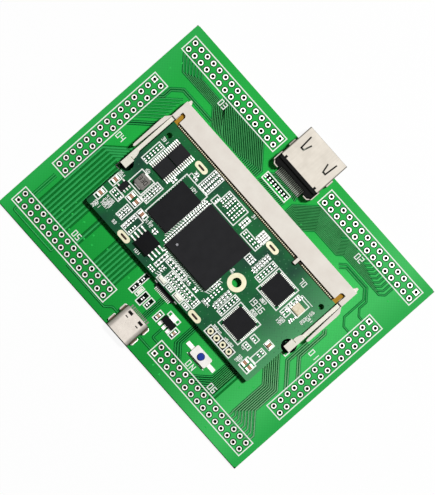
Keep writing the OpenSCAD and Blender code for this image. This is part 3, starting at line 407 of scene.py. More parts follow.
# The same beside narrow tracks, where less light gets in; paler towards the right, a painted sheen
GAP_MASK = WIDE_GAP.tinted(
    "green_solder_mask_over_laminate", "045C27", "035423", right="2E8C4C"
)
# A wide track carries much metal close under its thin coat: a paler green
WIDE_TRACK = Finish(
    "green_solder_mask_over_wide_track", "32A656", "2C9E50", 0.36, specular=0.1, patch_mm=8.0
)
# A narrow track is a little duller, and is painted greyer and paler towards the right, a painted
# sheen
TRACK_MASK = WIDE_TRACK.tinted(
    "green_solder_mask_over_track", "2CA650", "269C48", right="82B286"
)
# Between the rear fields and the socket the coat is thinnest, and the tracks are greyer
REAR_GAP = WIDE_GAP.tinted("green_solder_mask_over_laminate_rear", "0A8238", "087A34")
REAR_TRACK = WIDE_TRACK.tinted("thin_green_mask_over_track", "3E9C56", "368E4C", patch_mm=3.0)
# At the left the coat is thick, and the tracks barely show
FAINT_GAP = WIDE_GAP.tinted("thick_green_mask_over_laminate", "0E8A36", "0C8232")
FAINT_TRACK = WIDE_TRACK.tinted("thick_green_mask_over_track", "3AA858", "34A052")
# Painted shade round each land: a duller, darker ring
LAND_SHADE = WIDE_TRACK.tinted("thin_green_mask_round_land", "1E4E2C", "1A4728")
# Mask heaped over a tented via: the pour's green, a little brighter
VIA_MASK = WIDE_TRACK.tinted("green_solder_mask_over_via", "22B84A", "1DB045")
# Near-black painted shade on the mask: deep under a latch, and in the printed boxes
SHADE_ON_MASK = Finish(
    "green_solder_mask_in_a_recess", "03130A", "020F08", 0.6, specular=0.02, patch_mm=2.0
)
# Dark mask heaped over the module's small vias: paler than the board round it
MODULE_VIA = REAR_TRACK.tinted("dark_green_solder_mask_over_track", "3C7350", "356B49")
# Hot-air levelled solder: pale, uneven and half bright
TIN = Finish(
    "hot_air_levelled_solder",
    "CDCBC7",
    "B5B2AC",
    0.34,
    metallic=1.0,
    patch_mm=0.9,
    grain_mm=0.35,
    relief_mm=0.02,
    gloss_spread=0.12,
)
# Immersion gold over nickel: pale cream yellow with a satin gloss
PALE_GOLD = Finish(
    "immersion_gold_over_nickel",
    "A39F8B",
    "99957D",
    0.5,
    metallic=1.0,
    patch_mm=1.2,
    grain_mm=0.15,
    relief_mm=0.004,
    gloss_spread=0.04,
)
# Flux-stained solder on the rear port's tails: a darker grey
DULL_TIN = Finish(
    "dull_solder_on_tails", "6C7068", "5E6259", 0.3, metallic=1.0, patch_mm=0.5, grain_mm=0.2
)
# Solder drawn up on part ends and pads: bright and smooth
BRIGHT_TIN = Finish(
    "reflowed_solder", "E2E2DE", "D0D0CB", 0.42, metallic=1.0, patch_mm=0.4, grain_mm=0.12
)
# Painted shadow under the socket's lip, between it and the contacts: dark amber brown
LIP_SHADOW = Finish(
    "dried_flux_resin", "3A2C14", "2A200F", 0.4, specular=0.2, patch_mm=0.8, grain_mm=0.1
)
# Hard gold on edge contacts and springs: deeper yellow, smooth
HARD_GOLD = Finish(
    "electroplated_hard_gold", "C99A3C", "B08330", 0.3, metallic=1.0, patch_mm=0.8, grain_mm=0.12
)
# White epoxy ink, screen printed: chalky and slightly ragged in gloss
INK = Finish(
    "white_epoxy_ink_screen_printed",
    "F4F5F0",
    "E9ECE6",
    0.72,
    specular=0.25,
    patch_mm=0.7,
    grain_mm=0.12,
    relief_mm=0.004,
)
# Deep-drawn steel with a nickel plate: warm silver, satin, with painted shade in its side folds and
# at its tab roots
DRAWN_SHELL = Finish(
    "nickel_plated_steel_drawn",
    "A39D96",
    "9A948D",
    0.55,
    metallic=1.0,
    rim="4A3C30",
    rim_mm=(3.85, 4.25),
    side_mm=(4.6, 4.8),
    patch_mm=2.0,
    grain_mm=0.25,
    relief_mm=0.003,
    gloss_spread=0.05,
)
# Stamped copper alloy with a nickel and tin plate: warm silver with faint rolling lines, and
# painted shade in its side folds
STAMPED_SHELL = Finish(
    "tin_plated_sheet_stamped",
    "948F87",
    "8C877F",
    0.55,
    metallic=1.0,
    rim="46423C",
    patch_mm=3.0,
    grain_mm=0.25,
    gloss_spread=0.02,
    stretch=(1.0, 0.06, 1.0),
)
# Glass-filled liquid-crystal polymer, injection moulded, ivory: matte with fine flow specks
IVORY = Finish(
    "ivory_glass_filled_polymer_moulded",
    "E2DCD2",
    "DAD2C8",
    0.55,
    specular=0.35,
    patch_mm=4.0,
    grain_mm=0.18,
    relief_mm=0.006,
    stretch=(0.25, 1.0, 1.0),
)
# The latch arms are moulded of a slightly warmer batch, and its flow runs along them
WARM_IVORY = IVORY.tinted(
    "warm_ivory_polymer_moulded",
    "E3E0D3",
    "D9D5C6",
    roughness=0.5,
    patch_mm=3.0,
    stretch=(1.0, 0.25, 1.0),
)
# Black glass-filled polymer inside the ports: deep black, fine grain
BLACK_POLYMER = Finish(
    "black_glass_filled_polymer_moulded",
    "0A0A0A",
    "0D0D0D",
    0.55,
    specular=0.05,
    patch_mm=2.0,
    grain_mm=0.15,
    relief_mm=0.006,
)
# Epoxy moulding compound, transfer moulded: near-black with a fine sparkle of filler
CHIP_EPOXY = Finish(
    "epoxy_moulding_compound",
    "131315",
    "18181A",
    0.6,
    specular=0.07,
    patch_mm=3.0,
    grain_mm=0.11,
    relief_mm=0.006,
)
# A paler batch on the main chip and the buffers
PALE_EPOXY = CHIP_EPOXY.tinted("pale_epoxy_moulding_compound", "1B1B1D", "202022")
# A blacker, smoother batch on the flash chip and the regulator
BLACK_EPOXY = CHIP_EPOXY.tinted(
    "black_epoxy_moulding_compound", "0A0A0C", "0E0E10", specular=0.05, relief_mm=0.0
)
# Laser-marked epoxy: the etched skin is greyer and duller
ETCHED = Finish("laser_etched_epoxy", "A2A2A6", "98989C", 0.8, specular=0.2, grain_mm=0.1)
# Painted shade for the dark inside of a plated slot: a deep red brown
SLOT_SHADE = Finish(
    "resin_over_milled_slot", "301A0C", "221208", 0.5, specular=0.2, patch_mm=0.6, grain_mm=0.1
)
# Bismaleimide laminate under the large chips: dark green-black, faintly woven
SUBSTRATE = Finish(
    "chip_substrate_laminate", "17332A", "10261F", 0.45, specular=0.3, patch_mm=0.6, grain_mm=0.12
)
# Pressed ferrite powder: a soft dark grey with a sandy grain
FERRITE = Finish(
    "pressed_ferrite_powder",
    "86837E",
    "6E6B66",
    0.62,
    specular=0.15,
    patch_mm=0.8,
    grain_mm=0.12,
    relief_mm=0.012,
)
# Dark ink pad-printed on the ferrite: flat and dull
DARK_INK = Finish(
    "dark_ink_pad_printed", "35332F", "2C2A27", 0.7, specular=0.1, patch_mm=0.5, grain_mm=0.1
)
# Fired barium titanate ceramic: sand brown, smooth as glazed
TAN_CERAMIC = Finish(
    "fired_titanate_ceramic", "A97A58", "96674A", 0.38, specular=0.4, patch_mm=0.6, grain_mm=0.1
)
# A paler batch of the same ceramic, on the carrier's capacitors
PALE_TAN = TAN_CERAMIC.tinted(
    "fired_pale_titanate_ceramic", "B89A80", "A98A6E", roughness=0.4, patch_mm=0.5
)
# Glass glaze printed over a resistor: black and glossy
BLACK_GLAZE = Finish("printed_glass_glaze", "16171A", "1E1F22", 0.28, patch_mm=0.5, grain_mm=0.1)
# Glazed cream ceramic with a plated lid on the oscillator: smooth and warm
CREAM_CERAMIC = Finish(
    "glazed_cream_ceramic", "E6DAC2", "D2C2A0", 0.42, specular=0.4, patch_mm=0.8, grain_mm=0.12
)
# White nylon of the press switch, moulded: bright and satin
WHITE_NYLON = Finish(
    "white_nylon_moulded",
    "F4F0EB",
    "EAE5DF",
    0.42,
    specular=0.4,
    patch_mm=1.5,
    grain_mm=0.15,
    relief_mm=0.004,
)
# Blue acetal of the button, moulded: smooth, saturated
BLUE_ACETAL = Finish(
    "blue_acetal_moulded", "1C3898", "16308A", 0.32, specular=0.12, patch_mm=0.8, grain_mm=0.12
)
# Diffusing epoxy over a lamp's chip: milky, with the faint warm tint of its phosphor
LAMP_EPOXY = Finish("diffusing_epoxy_cast", "F4F3E6", "E9E8D4", 0.3, patch_mm=0.5, grain_mm=0.1)


def link(obj: bpy.types.Object) -> bpy.types.Object:
    """Links an object to the scene and gives it back."""
    bpy.context.scene.collection.objects.link(obj)
    return obj


def settle(
    mesh: bpy.types.Mesh,
    name: str,
    finish: Finish,
    body: Body = Body.BOARD,
    replaces: Iterable[str] = (),
) -> bpy.types.Object:
    """Puts a finished mesh into the scene as a piece of the object.

    Args:
        mesh: The mesh, with its place in its vertices.
        name: The piece's name.
        finish: What it is made of.
        body: The body that it rides on.
        replaces: CAD nodes that it stands for.

    Returns:
        The piece.
    """
    piece = link(bpy.data.objects.new(name, mesh))
    mesh.name = name
    mesh.materials.clear()
    mesh.materials.append(finish.material())
    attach(piece, body.value)
    if replaces:
        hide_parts(*replaces)
    LOG.info("piece %s: %d faces", name, len(mesh.polygons))
    return piece


def dress(finish: Finish, *nodes: str) -> None:
    """Gives CAD nodes their finish.

    Args:
        finish: What they are made of.
        nodes: The nodes' names.
    """
    for node in nodes:
        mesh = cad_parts[node].data
        mesh.materials.clear()
        mesh.materials.append(finish.material())
        LOG.info("dressed %s as %s", node, finish.name)


def smooth(mesh: bpy.types.Mesh, angle: float) -> bpy.types.Mesh:
    """Shades a mesh smooth.

    Args:
        mesh: The mesh.
        angle: Sharper folds than this many degrees stay sharp.

    Returns:
        The same mesh.
    """
    mesh.shade_smooth()
    mesh.set_sharp_from_angle(angle=math.radians(angle))
    return mesh


def reworked(mesh: bpy.types.Mesh, change: Builder) -> bpy.types.Mesh:
    """Changes a mesh in place.

    Args:
        mesh: The mesh.
        change: Changes it as a bmesh, in metres.

    Returns:
        The same mesh.
    """
    work = bmesh.new()
    work.from_mesh(mesh)
    change(work)
    work.to_mesh(mesh)
    work.free()
    return mesh


def built(name: str, build: Builder) -> bpy.types.Mesh:
    """Makes a mesh with a building function.

    Args:
        name: The mesh's name.
        build: Fills an empty bmesh, in metres.

    Returns:
        The mesh, with its faces pointing outwards.
    """

    def shape(work: bmesh.types.BMesh) -> None:
        """Builds the shape and turns its faces outwards."""
        build(work)
        bmesh.ops.recalc_face_normals(work, faces=work.faces)

    return reworked(bpy.data.meshes.new(name), shape)


def evaluated_mesh(obj: bpy.types.Object) -> bpy.types.Mesh:
    """Turns an object and its modifiers into a plain mesh, and removes the object.

    Args:
        obj: A linked object.

    Returns:
        The resulting mesh.
    """
    shown = obj.evaluated_get(bpy.context.evaluated_depsgraph_get())
    mesh = bpy.data.meshes.new_from_object(shown)
    obj.modifiers.clear()
    bpy.data.objects.remove(obj)
    return mesh


def round_off(
    node: str,
    name: str,
    finish: Finish,
    width: float,
    segments: int = 2,
    body: Body = Body.BOARD,
) -> None:
    """Sets a copy of a CAD node in its stead, edges rounded as moulding and stamping leave them.

    Args:
        node: The node's name.
        name: The piece's name.
        finish: What it is made of.
        width: How wide the rounding is, in millimetres.
        segments: Facets across the rounding.
        body: The body that it rides on.
    """

    def weld(work: bmesh.types.BMesh) -> None:
        """Joins the node's loose triangles into whole faces.

        Args:
            work: The empty bmesh that gets them.
        """
        work.from_mesh(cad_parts[node].data)
        bmesh.ops.remove_doubles(work, verts=work.verts, dist=WELD)
        level = math.radians(LEVEL_FOLD)
        bmesh.ops.dissolve_limit(work, angle_limit=level, verts=work.verts, edges=work.edges)

    def clean(work: bmesh.types.BMesh) -> None:
        """Takes out the faces of no width that the rounding leaves."""
        bmesh.ops.dissolve_degenerate(work, dist=MERGE, edges=work.edges)

    copy = link(bpy.data.objects.new(node, reworked(bpy.data.meshes.new(node), weld)))
    rounding = copy.modifiers.new("rounding", "BEVEL")
    rounding.width = width * MM
    rounding.segments = segments
    rounding.limit_method = "ANGLE"
    rounding.angle_limit = math.radians(ROUNDED_FOLD)
    rounding.use_clamp_overlap = True
    rounded = smooth(reworked(evaluated_mesh(copy), clean), FLAT_FOLD)
    settle(rounded, name, finish, body, [node])


@dataclass(frozen=True)
class Box:
    """A box along the axes, in millimetres."""

    low: Vector
    high: Vector

    @property
    def centre(self) -> Vector:
        """The box's middle."""
        return (self.low + self.high) / 2

    @property
    def size(self) -> Vector:
        """The box's edge lengths."""
        return self.high - self.low


def top_of(node: str) -> float:
    """The height of a CAD node's top, in millimetres."""
    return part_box(node)[1][2] / MM


def solid_boxes(node: str) -> list[Box]:
    """Finds the separate solids of a CAD node.

    Args:
        node: The node's name.

    Returns:
        The box of each solid, in millimetres, in a fixed order.
    """
    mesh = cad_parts[node].data
    places: dict[Triple, int] = {}
    label = [
        places.setdefault(tuple(round(c, 7) for c in v.co), len(places)) for v in mesh.vertices
    ]
    parent = list(range(len(places)))

    def root(i: int) -> int:
        """Follows a point to the first point of its solid.

        Args:
            i: The point's number.

        Returns:
            The first point's number.
        """
        while parent[i] != i:
            parent[i] = parent[parent[i]]
            i = parent[i]
        return i

    for edge in mesh.edges:
        a, b = sorted(root(label[i]) for i in edge.vertices)
        parent[b] = a
    groups: dict[int, list[Triple]] = {}
    for place, i in places.items():
        groups.setdefault(root(i), []).append(place)
    boxes = [
        Box(Vector(map(min, zip(*group))) / MM, Vector(map(max, zip(*group))) / MM)
        for group in groups.values()
    ]
    return sorted(boxes, key=lambda b: (round(b.low.x, 3), round(b.low.y, 3)))


def turned(profile: list[Point], steps: int, capped: bool) -> Builder:
    """Gives a builder of a shape turned about Z.

    Args:
        profile: Radius and height of each corner of its section, in millimetres.
        steps: Corners round it.
        capped: Whether a face closes each end of the section. If not, its ends join.

    Returns:
        A function that adds the shape to a bmesh.
    """

    def build(work: bmesh.types.BMesh) -> None:
        """Adds the shape as loops of points with faces between them.

        Args:
            work: The bmesh that gets the shape.
        """
        turn = [2 * math.pi * i / steps for i in range(steps)]
        loops = [
            [work.verts.new((r * math.cos(a) * MM, r * math.sin(a) * MM, z * MM)) for a in turn]
            for r, z in profile
        ]
        for here, there in zip(loops, loops[1:] if capped else loops[1:] + loops[:1]):
            for i in range(steps):
                j = (i + 1) % steps
                work.faces.new((here[i], here[j], there[j], there[i]))
        if capped:
            work.faces.new(loops[-1])
            work.faces.new(loops[0][::-1])

    return build


def dome(radius: float, height: float, steps: int = 12) -> Builder:
    """Gives a builder of a low round button shape that stands a little below z = 0."""
    return turned([(radius, -0.02), (radius, 0.4 * height), (0.6 * radius, height)], steps, True)


def brick(size: Triple, shifts: tuple[float, ...] = (0.0,)) -> Builder:
    """Gives a builder of small blocks with broken edges that stand on z = 0.

    Args:
        size: Sizes along X, Y and Z, in millimetres.
        shifts: Middle of each block along X.

    Returns:
        A function that adds the blocks to a bmesh.
    """

    def build(work: bmesh.types.BMesh) -> None:
        """Adds the blocks and cuts their edges.

        Args:
            work: The bmesh that gets the blocks.
        """
        for shift in shifts:
            made = bmesh.ops.create_cube(work, size=MM)["verts"]
            bmesh.ops.scale(work, vec=size, verts=made)
            bmesh.ops.translate(work, vec=(shift * MM, 0, size[2] / 2 * MM), verts=made)
        cut = BROKEN_EDGE * min(size) * MM
        bmesh.ops.bevel(work, geom=list(work.edges), offset=cut, segments=1)

    return build


# Strokes of plain figures, one high and 0.55 wide
FIGURES: dict[str, tuple[Line, ...]] = {
    "0": ([(0, 0), (0, 1), (0.55, 1), (0.55, 0), (0, 0)],),
    "1": ([(0.3, 0), (0.3, 1)],),
    "2": ([(0, 1), (0.55, 1), (0.55, 0.5), (0, 0.5), (0, 0), (0.55, 0)],),
    "3": ([(0, 1), (0.55, 1), (0.55, 0), (0, 0)], [(0.1, 0.5), (0.55, 0.5)]),
    "4": ([(0, 1), (0, 0.45), (0.55, 0.45)], [(0.45, 1), (0.45, 0)]),
    "5": ([(0.55, 1), (0, 1), (0, 0.5), (0.55, 0.5), (0.55, 0), (0, 0)],),
    "6": ([(0.55, 1), (0, 1), (0, 0), (0.55, 0), (0.55, 0.5), (0, 0.5)],),
    "7": ([(0, 1), (0.55, 1), (0.2, 0)],),
    "8": ([(0, 0), (0, 1), (0.55, 1), (0.55, 0), (0, 0)], [(0, 0.5), (0.55, 0.5)]),
    "9": ([(0, 0), (0.55, 0), (0.55, 1), (0, 1), (0, 0.5), (0.55, 0.5)],),
}
FIGURE_STEP = 0.85


@dataclass(frozen=True)
class Number:
    """A plain number: its lower left corner, figures, height, and whether it reads upwards."""

    x: float
    y: float
    text: str
    height: float = 0.85
    upright: bool = False

    def lines(self) -> list[Line]:
        """Gives the strokes of every figure.

        Returns:
            One line of points for each stroke, in millimetres.
        """
        strokes = []
        for i, figure in enumerate(self.text):
            for stroke in FIGURES[figure]:
                along = [
                    ((px + i * FIGURE_STEP) * self.height, py * self.height) for px, py in stroke
                ]
                placed = [(-b, a) if self.upright else (a, b) for a, b in along]
                strokes.append([(self.x + a, self.y + b) for a, b in placed])
        return strokes


@dataclass(frozen=True)
class Hatch:
    """Slanting strokes that fill a box, up its height or, when level, along its length."""

    x0: float
    y0: float
    x1: float
    y1: float
    count: int
    level: bool = False
    slant: float = 0.6

    def lines(self) -> list[Line]:
        """Gives the strokes.

        Returns:
            One line of two points for each stroke, in millimetres.
        """
        x_step = (self.x1 - self.x0) / self.count
        y_step = (self.y1 - self.y0) / self.count
        if self.level:
            starts = [self.x0 + k * x_step for k in range(self.count)]
            return [[(x, self.y0), (x + self.slant * x_step, self.y1)] for x in starts]
        starts = [self.y0 + k * y_step for k in range(self.count)]
        return [[(self.x0, y), (self.x1, y + self.slant * y_step)] for y in starts]


@dataclass(frozen=True)
class Stand:
    """Where a template stands, in millimetres, its turn in radians and its stretch along Y."""

    x: float
    y: float
    z: float
    turn: float = 0.0
    stretch: float = 1.0


class NodeRig:
    """A Geometry Nodes tree that is built once and then makes many pieces."""

    def __init__(self, name: str, sockets: dict[str, str]) -> None:
        """Makes the tree with its named inputs.

        Args:
            name: The tree's name.
            sockets: Input name to kind of socket.
        """
        self.tree = bpy.data.node_groups.new(name, "GeometryNodeTree")
        ends = [("Geometry", "INPUT", "Geometry"), ("Geometry", "OUTPUT", "Geometry")]
        inputs = [(label, "INPUT", kind) for label, kind in sockets.items()]
        for label, side, kind in (*ends, *inputs, ("Material", "INPUT", "Material")):
            self.tree.interface.new_socket(label, in_out=side, socket_type=f"NodeSocket{kind}")
        self.given = add_node(self.tree, "NodeGroupInput").outputs

    def close(self, geometry: bpy.types.NodeSocket) -> None:
        """Ends the tree: instances become real, and the material is set.

        Args:
            geometry: What the tree made.
        """
        real = add_node(self.tree, "GeometryNodeRealizeInstances", {"Geometry": geometry})
        painted = add_node(
            self.tree,
            "GeometryNodeSetMaterial",
            {"Geometry": real.outputs[0], "Material": self.given["Material"]},
        )
        add_node(self.tree, "NodeGroupOutput", {"Geometry": painted.outputs[0]})

    def run(
        self,
        name: str,
        mesh: bpy.types.Mesh,
        values: dict,
        finish: Finish,
        slot: Slot,
        template: Builder | None = None,
        replaces: Iterable[str] = (),
    ) -> bpy.types.Object:
        """Makes a piece with the tree.

        Args:
            name: The piece's name.
            mesh: Points, lines or faces that the tree starts from.
            values: Input name to value.
            finish: What the piece is made of.
            slot: Not used.
            template: Builds the shape that the tree repeats, round its own origin.
            replaces: CAD nodes that it stands for.

        Returns:
            The piece.
        """
        values = {**values, "Material": finish.material()}
        if template:
            pattern = built("pattern", template)
            values["Template"] = link(bpy.data.objects.new("pattern", pattern))
        start = link(bpy.data.objects.new("start", mesh))
        modifier = start.modifiers.new("nodes", "NODES")
        modifier.node_group = self.tree
        for item in self.tree.interface.items_tree:
            if item.in_out == "INPUT" and item.name in values:
                modifier[item.identifier] = values[item.name]
        made = evaluated_mesh(start)
        if template:
            bpy.data.objects.remove(values["Template"])
        return settle(made, name, finish, replaces=replaces)


class PlacingRig(NodeRig):
    """Stands a template on each point, turned and scaled by the point's own attributes."""

    def __init__(self) -> None:
        """Builds the tree."""
        super().__init__(
            "stand_template_on_points", {"Template": "Object", "Sway": "Float", "Seed": "Int"}
        )
        tree = self.tree
        shape = add_node(tree, "GeometryNodeObjectInfo", {"Object": self.given["Template"]})
        turn, size = (
            add_node(tree, "GeometryNodeInputNamedAttribute", {"Name": name}, data_type=kind)
            for name, kind in (("turn", "FLOAT"), ("size", "FLOAT_VECTOR"))
        )
        least = add_node(
            tree, "ShaderNodeMath", {0: self.given["Sway"], 1: -1.0}, operation="MULTIPLY"
        )
        sway = add_node(
            tree,
            "FunctionNodeRandomValue",
            {2: least.outputs[0], 3: self.given["Sway"], "Seed": self.given["Seed"]},
            data_type="FLOAT",
        )
        total = add_node(
            tree, "ShaderNodeMath", {0: turn.outputs["Attribute"], 1: sway.outputs[1]}
        )
        euler = add_node(tree, "ShaderNodeCombineXYZ", {"Z": total.outputs[0]})
        stood = add_node(
            tree,
            "GeometryNodeInstanceOnPoints",
            {
                "Points": self.given["Geometry"],
                "Instance": shape.outputs["Geometry"],
                "Rotation": euler.outputs[0],
                "Scale": size.outputs["Attribute"],
            },
        )
        self.close(stood.outputs[0])

    def place(
        self,
        name: str,
        template: Builder,
        stands: list[Stand],
        finish: Finish,
        slot: Slot,
        sway: float = 0.0,
    ) -> None:
        """Stands the template on the given places, as one piece.

        Args:
            name: The piece's name.
            template: Builds the shape, round its own origin.
            stands: Where each copy stands.
            finish: What the piece is made of.
            slot: The record's slot, handed on to run.
            sway: Largest random turn, in radians.
        """
        mesh = bpy.data.meshes.new("start")
        mesh.from_pydata([(s.x * MM, s.y * MM, s.z * MM) for s in stands], [], [])
        turns = mesh.attributes.new("turn", "FLOAT", "POINT")
        turns.data.foreach_set("value", [s.turn for s in stands])
        sizes = mesh.attributes.new("size", "FLOAT_VECTOR", "POINT")
        sizes.data.foreach_set("vector", [c for s in stands for c in (1.0, s.stretch, 1.0)])
        self.run(name, mesh, {"Sway": sway, "Seed": SWAY_SEED}, finish, slot, template)


class RibbonRig(NodeRig):
    """Lays a flat band along each line, with its bends rounded."""

    def __init__(self) -> None:
        """Builds the tree."""
        super().__init__(
            "lay_band_along_lines", {"Width": "Float", "Height": "Float", "Bend": "Float"}
        )
        tree = self.tree
        curve = add_node(tree, "GeometryNodeMeshToCurve", {"Mesh": self.given["Geometry"]})
        limits = {"Count": BEND_STEPS, "Radius": self.given["Bend"], "Limit Radius": True}
        bent = add_node(
            tree, "GeometryNodeFilletCurve", {"Curve": curve.outputs[0], **limits}, mode="POLY"
        )
        flat = add_node(
            tree, "GeometryNodeSetCurveNormal", {"Curve": bent.outputs[0]}, mode="Z_UP"
        )
        section = add_node(
            tree,
            "GeometryNodeCurvePrimitiveQuadrilateral",
            {"Width": self.given["Width"], "Height": self.given["Height"]},
        )
        swept = add_node(
            tree,
            "GeometryNodeCurveToMesh",
            {"Curve": flat.outputs[0], "Profile Curve": section.outputs[0], "Fill Caps": True},
        )
        merged = add_node(
            tree,
            "GeometryNodeMergeByDistance",
            {"Geometry": swept.outputs[0], "Distance": MERGE},
        )
        self.close(merged.outputs[0])

    def lay(
        self,
        name: str,
        lines: list[Line],
        width: float,
        low: float,
        high: float,
        finish: Finish,
        slot: Slot,
        bend: float = 0.3,
        replaces: Iterable[str] = (),
    ) -> None:
        """Lays one band along each line, all as one piece.

        Args:
            name: The piece's name.
            lines: Points in millimetres.
            width: The band's width, in millimetres.
            low: The height of its underside.
            high: The height of its top.
            finish: What the piece is made of.
            slot: The record's slot, handed on to run.
            bend: Radius of its bends.
            replaces: CAD nodes that it stands for.
        """
        points, edges = [], []
        for line in lines:
            first = len(points)
            points += [(x * MM, y * MM, (low + high) / 2 * MM) for x, y in line]
            edges += [(first + i, first + i + 1) for i in range(len(line) - 1)]
        mesh = bpy.data.meshes.new("start")
        mesh.from_pydata(points, edges, [])
        sizes = {"Width": width * MM, "Height": (high - low) * MM, "Bend": bend * MM}
        self.run(name, mesh, sizes, finish, slot, replaces=replaces)


class ScatterRig(NodeRig):
    """Strews a template over faces, never closer than a given distance."""

    def __init__(self) -> None:
        """Builds the tree."""
        super().__init__(
            "strew_template_on_faces",
            {"Template": "Object", "Distance": "Float", "Density": "Float", "Seed": "Int"},
        )
        tree = self.tree
        strewn = add_node(
            tree,
            "GeometryNodeDistributePointsOnFaces",
            {
                "Mesh": self.given["Geometry"],
                "Distance Min": self.given["Distance"],
                "Density Max": self.given["Density"],
                "Seed": self.given["Seed"],
            },
            distribute_method="POISSON",
        )
        shape = add_node(tree, "GeometryNodeObjectInfo", {"Object": self.given["Template"]})
        stood = add_node(
            tree,
            "GeometryNodeInstanceOnPoints",
            {"Points": strewn.outputs["Points"], "Instance": shape.outputs["Geometry"]},
        )
        self.close(stood.outputs[0])

    def strew(
        self,
        name: str,
        template: Builder,
        fields: Iterable[tuple[Point, Point]],
        z: float,
        distance: float,
        finish: Finish,
        slot: Slot,
        seed: int,
    ) -> None:
        """Strews the template over rectangles, as one smooth piece.

        Args:
            name: The piece's name.
            template: Builds the shape, round its own origin.
            fields: Lower left and upper right corner of each rectangle, in millimetres.
            z: The rectangles' height.
            distance: Least distance between two copies.
            finish: What the piece is made of.
            slot: The record's slot, handed on to run.
            seed: Seed of the random places.
        """
        points, faces = [], []
        for (x0, y0), (x1, y1) in fields:
            corners = ((x0, y0), (x1, y0), (x1, y1), (x0, y1))
            faces.append(tuple(range(len(points), len(points) + 4)))
            points += [(x * MM, y * MM, z * MM) for x, y in corners]
        mesh = bpy.data.meshes.new("start")
        mesh.from_pydata(points, [], faces)
        apart = distance * MM
        values = {"Distance": apart, "Density": 1.0 / apart**2, "Seed": seed}
        piece = self.run(name, mesh, values, finish, slot, template)
        smooth(piece.data, TURNED_FOLD)


@dataclass(frozen=True)
class Bundle:
    """Tracks side by side: the points of the first, how each point steps on, and their count.

    Where there are fewer steps than points, the last step holds for the rest.
    """

    points: tuple[Point, ...]
    steps: tuple[Point, ...] = ((0.0, 0.0),)
    count: int = 1

    def stepped(self, numbers: Iterable[float]) -> list[Line]:
        """Moves the first line on.

        Args:
            numbers: How many steps on each line lies.

        Returns:
            One line for each number.
        """
        steps = self.steps + self.steps[-1:] * (len(self.points) - len(self.steps))
        return [
            [(x + k * dx, y + k * dy) for (x, y), (dx, dy) in zip(self.points, steps)]
            for k in numbers
        ]


@dataclass(frozen=True)
class TrackGroup:
    """Bundles under the same coat of mask, with the finish and width of tracks and of gaps."""

    name: str
    gap: Finish
    track: Finish
    bundles: tuple[Bundle, ...]
    gap_w: float = 0.74
    track_w: float = 0.26

    def lines(self) -> list[Line]:
        """Gives the centre line of every track."""
        return [line for bundle in self.bundles for line in bundle.stepped(range(bundle.count))]

    def gaps(self) -> list[Line]:
        """Gives the centre line of every etched gap.

        Returns:
            One line under each track, where the gap is the wider. If not, one line at each
            side of it, with a gap that two tracks or bundles share given once.
        """
        if self.gap_w > self.track_w:
            return self.lines()
        between = [
            line
            for bundle in self.bundles
            for line in bundle.stepped(k - 0.5 for k in range(bundle.count + 1))
        ]
        return list({(round(line[0][0], 1), line[0][1]): line for line in between}.values())


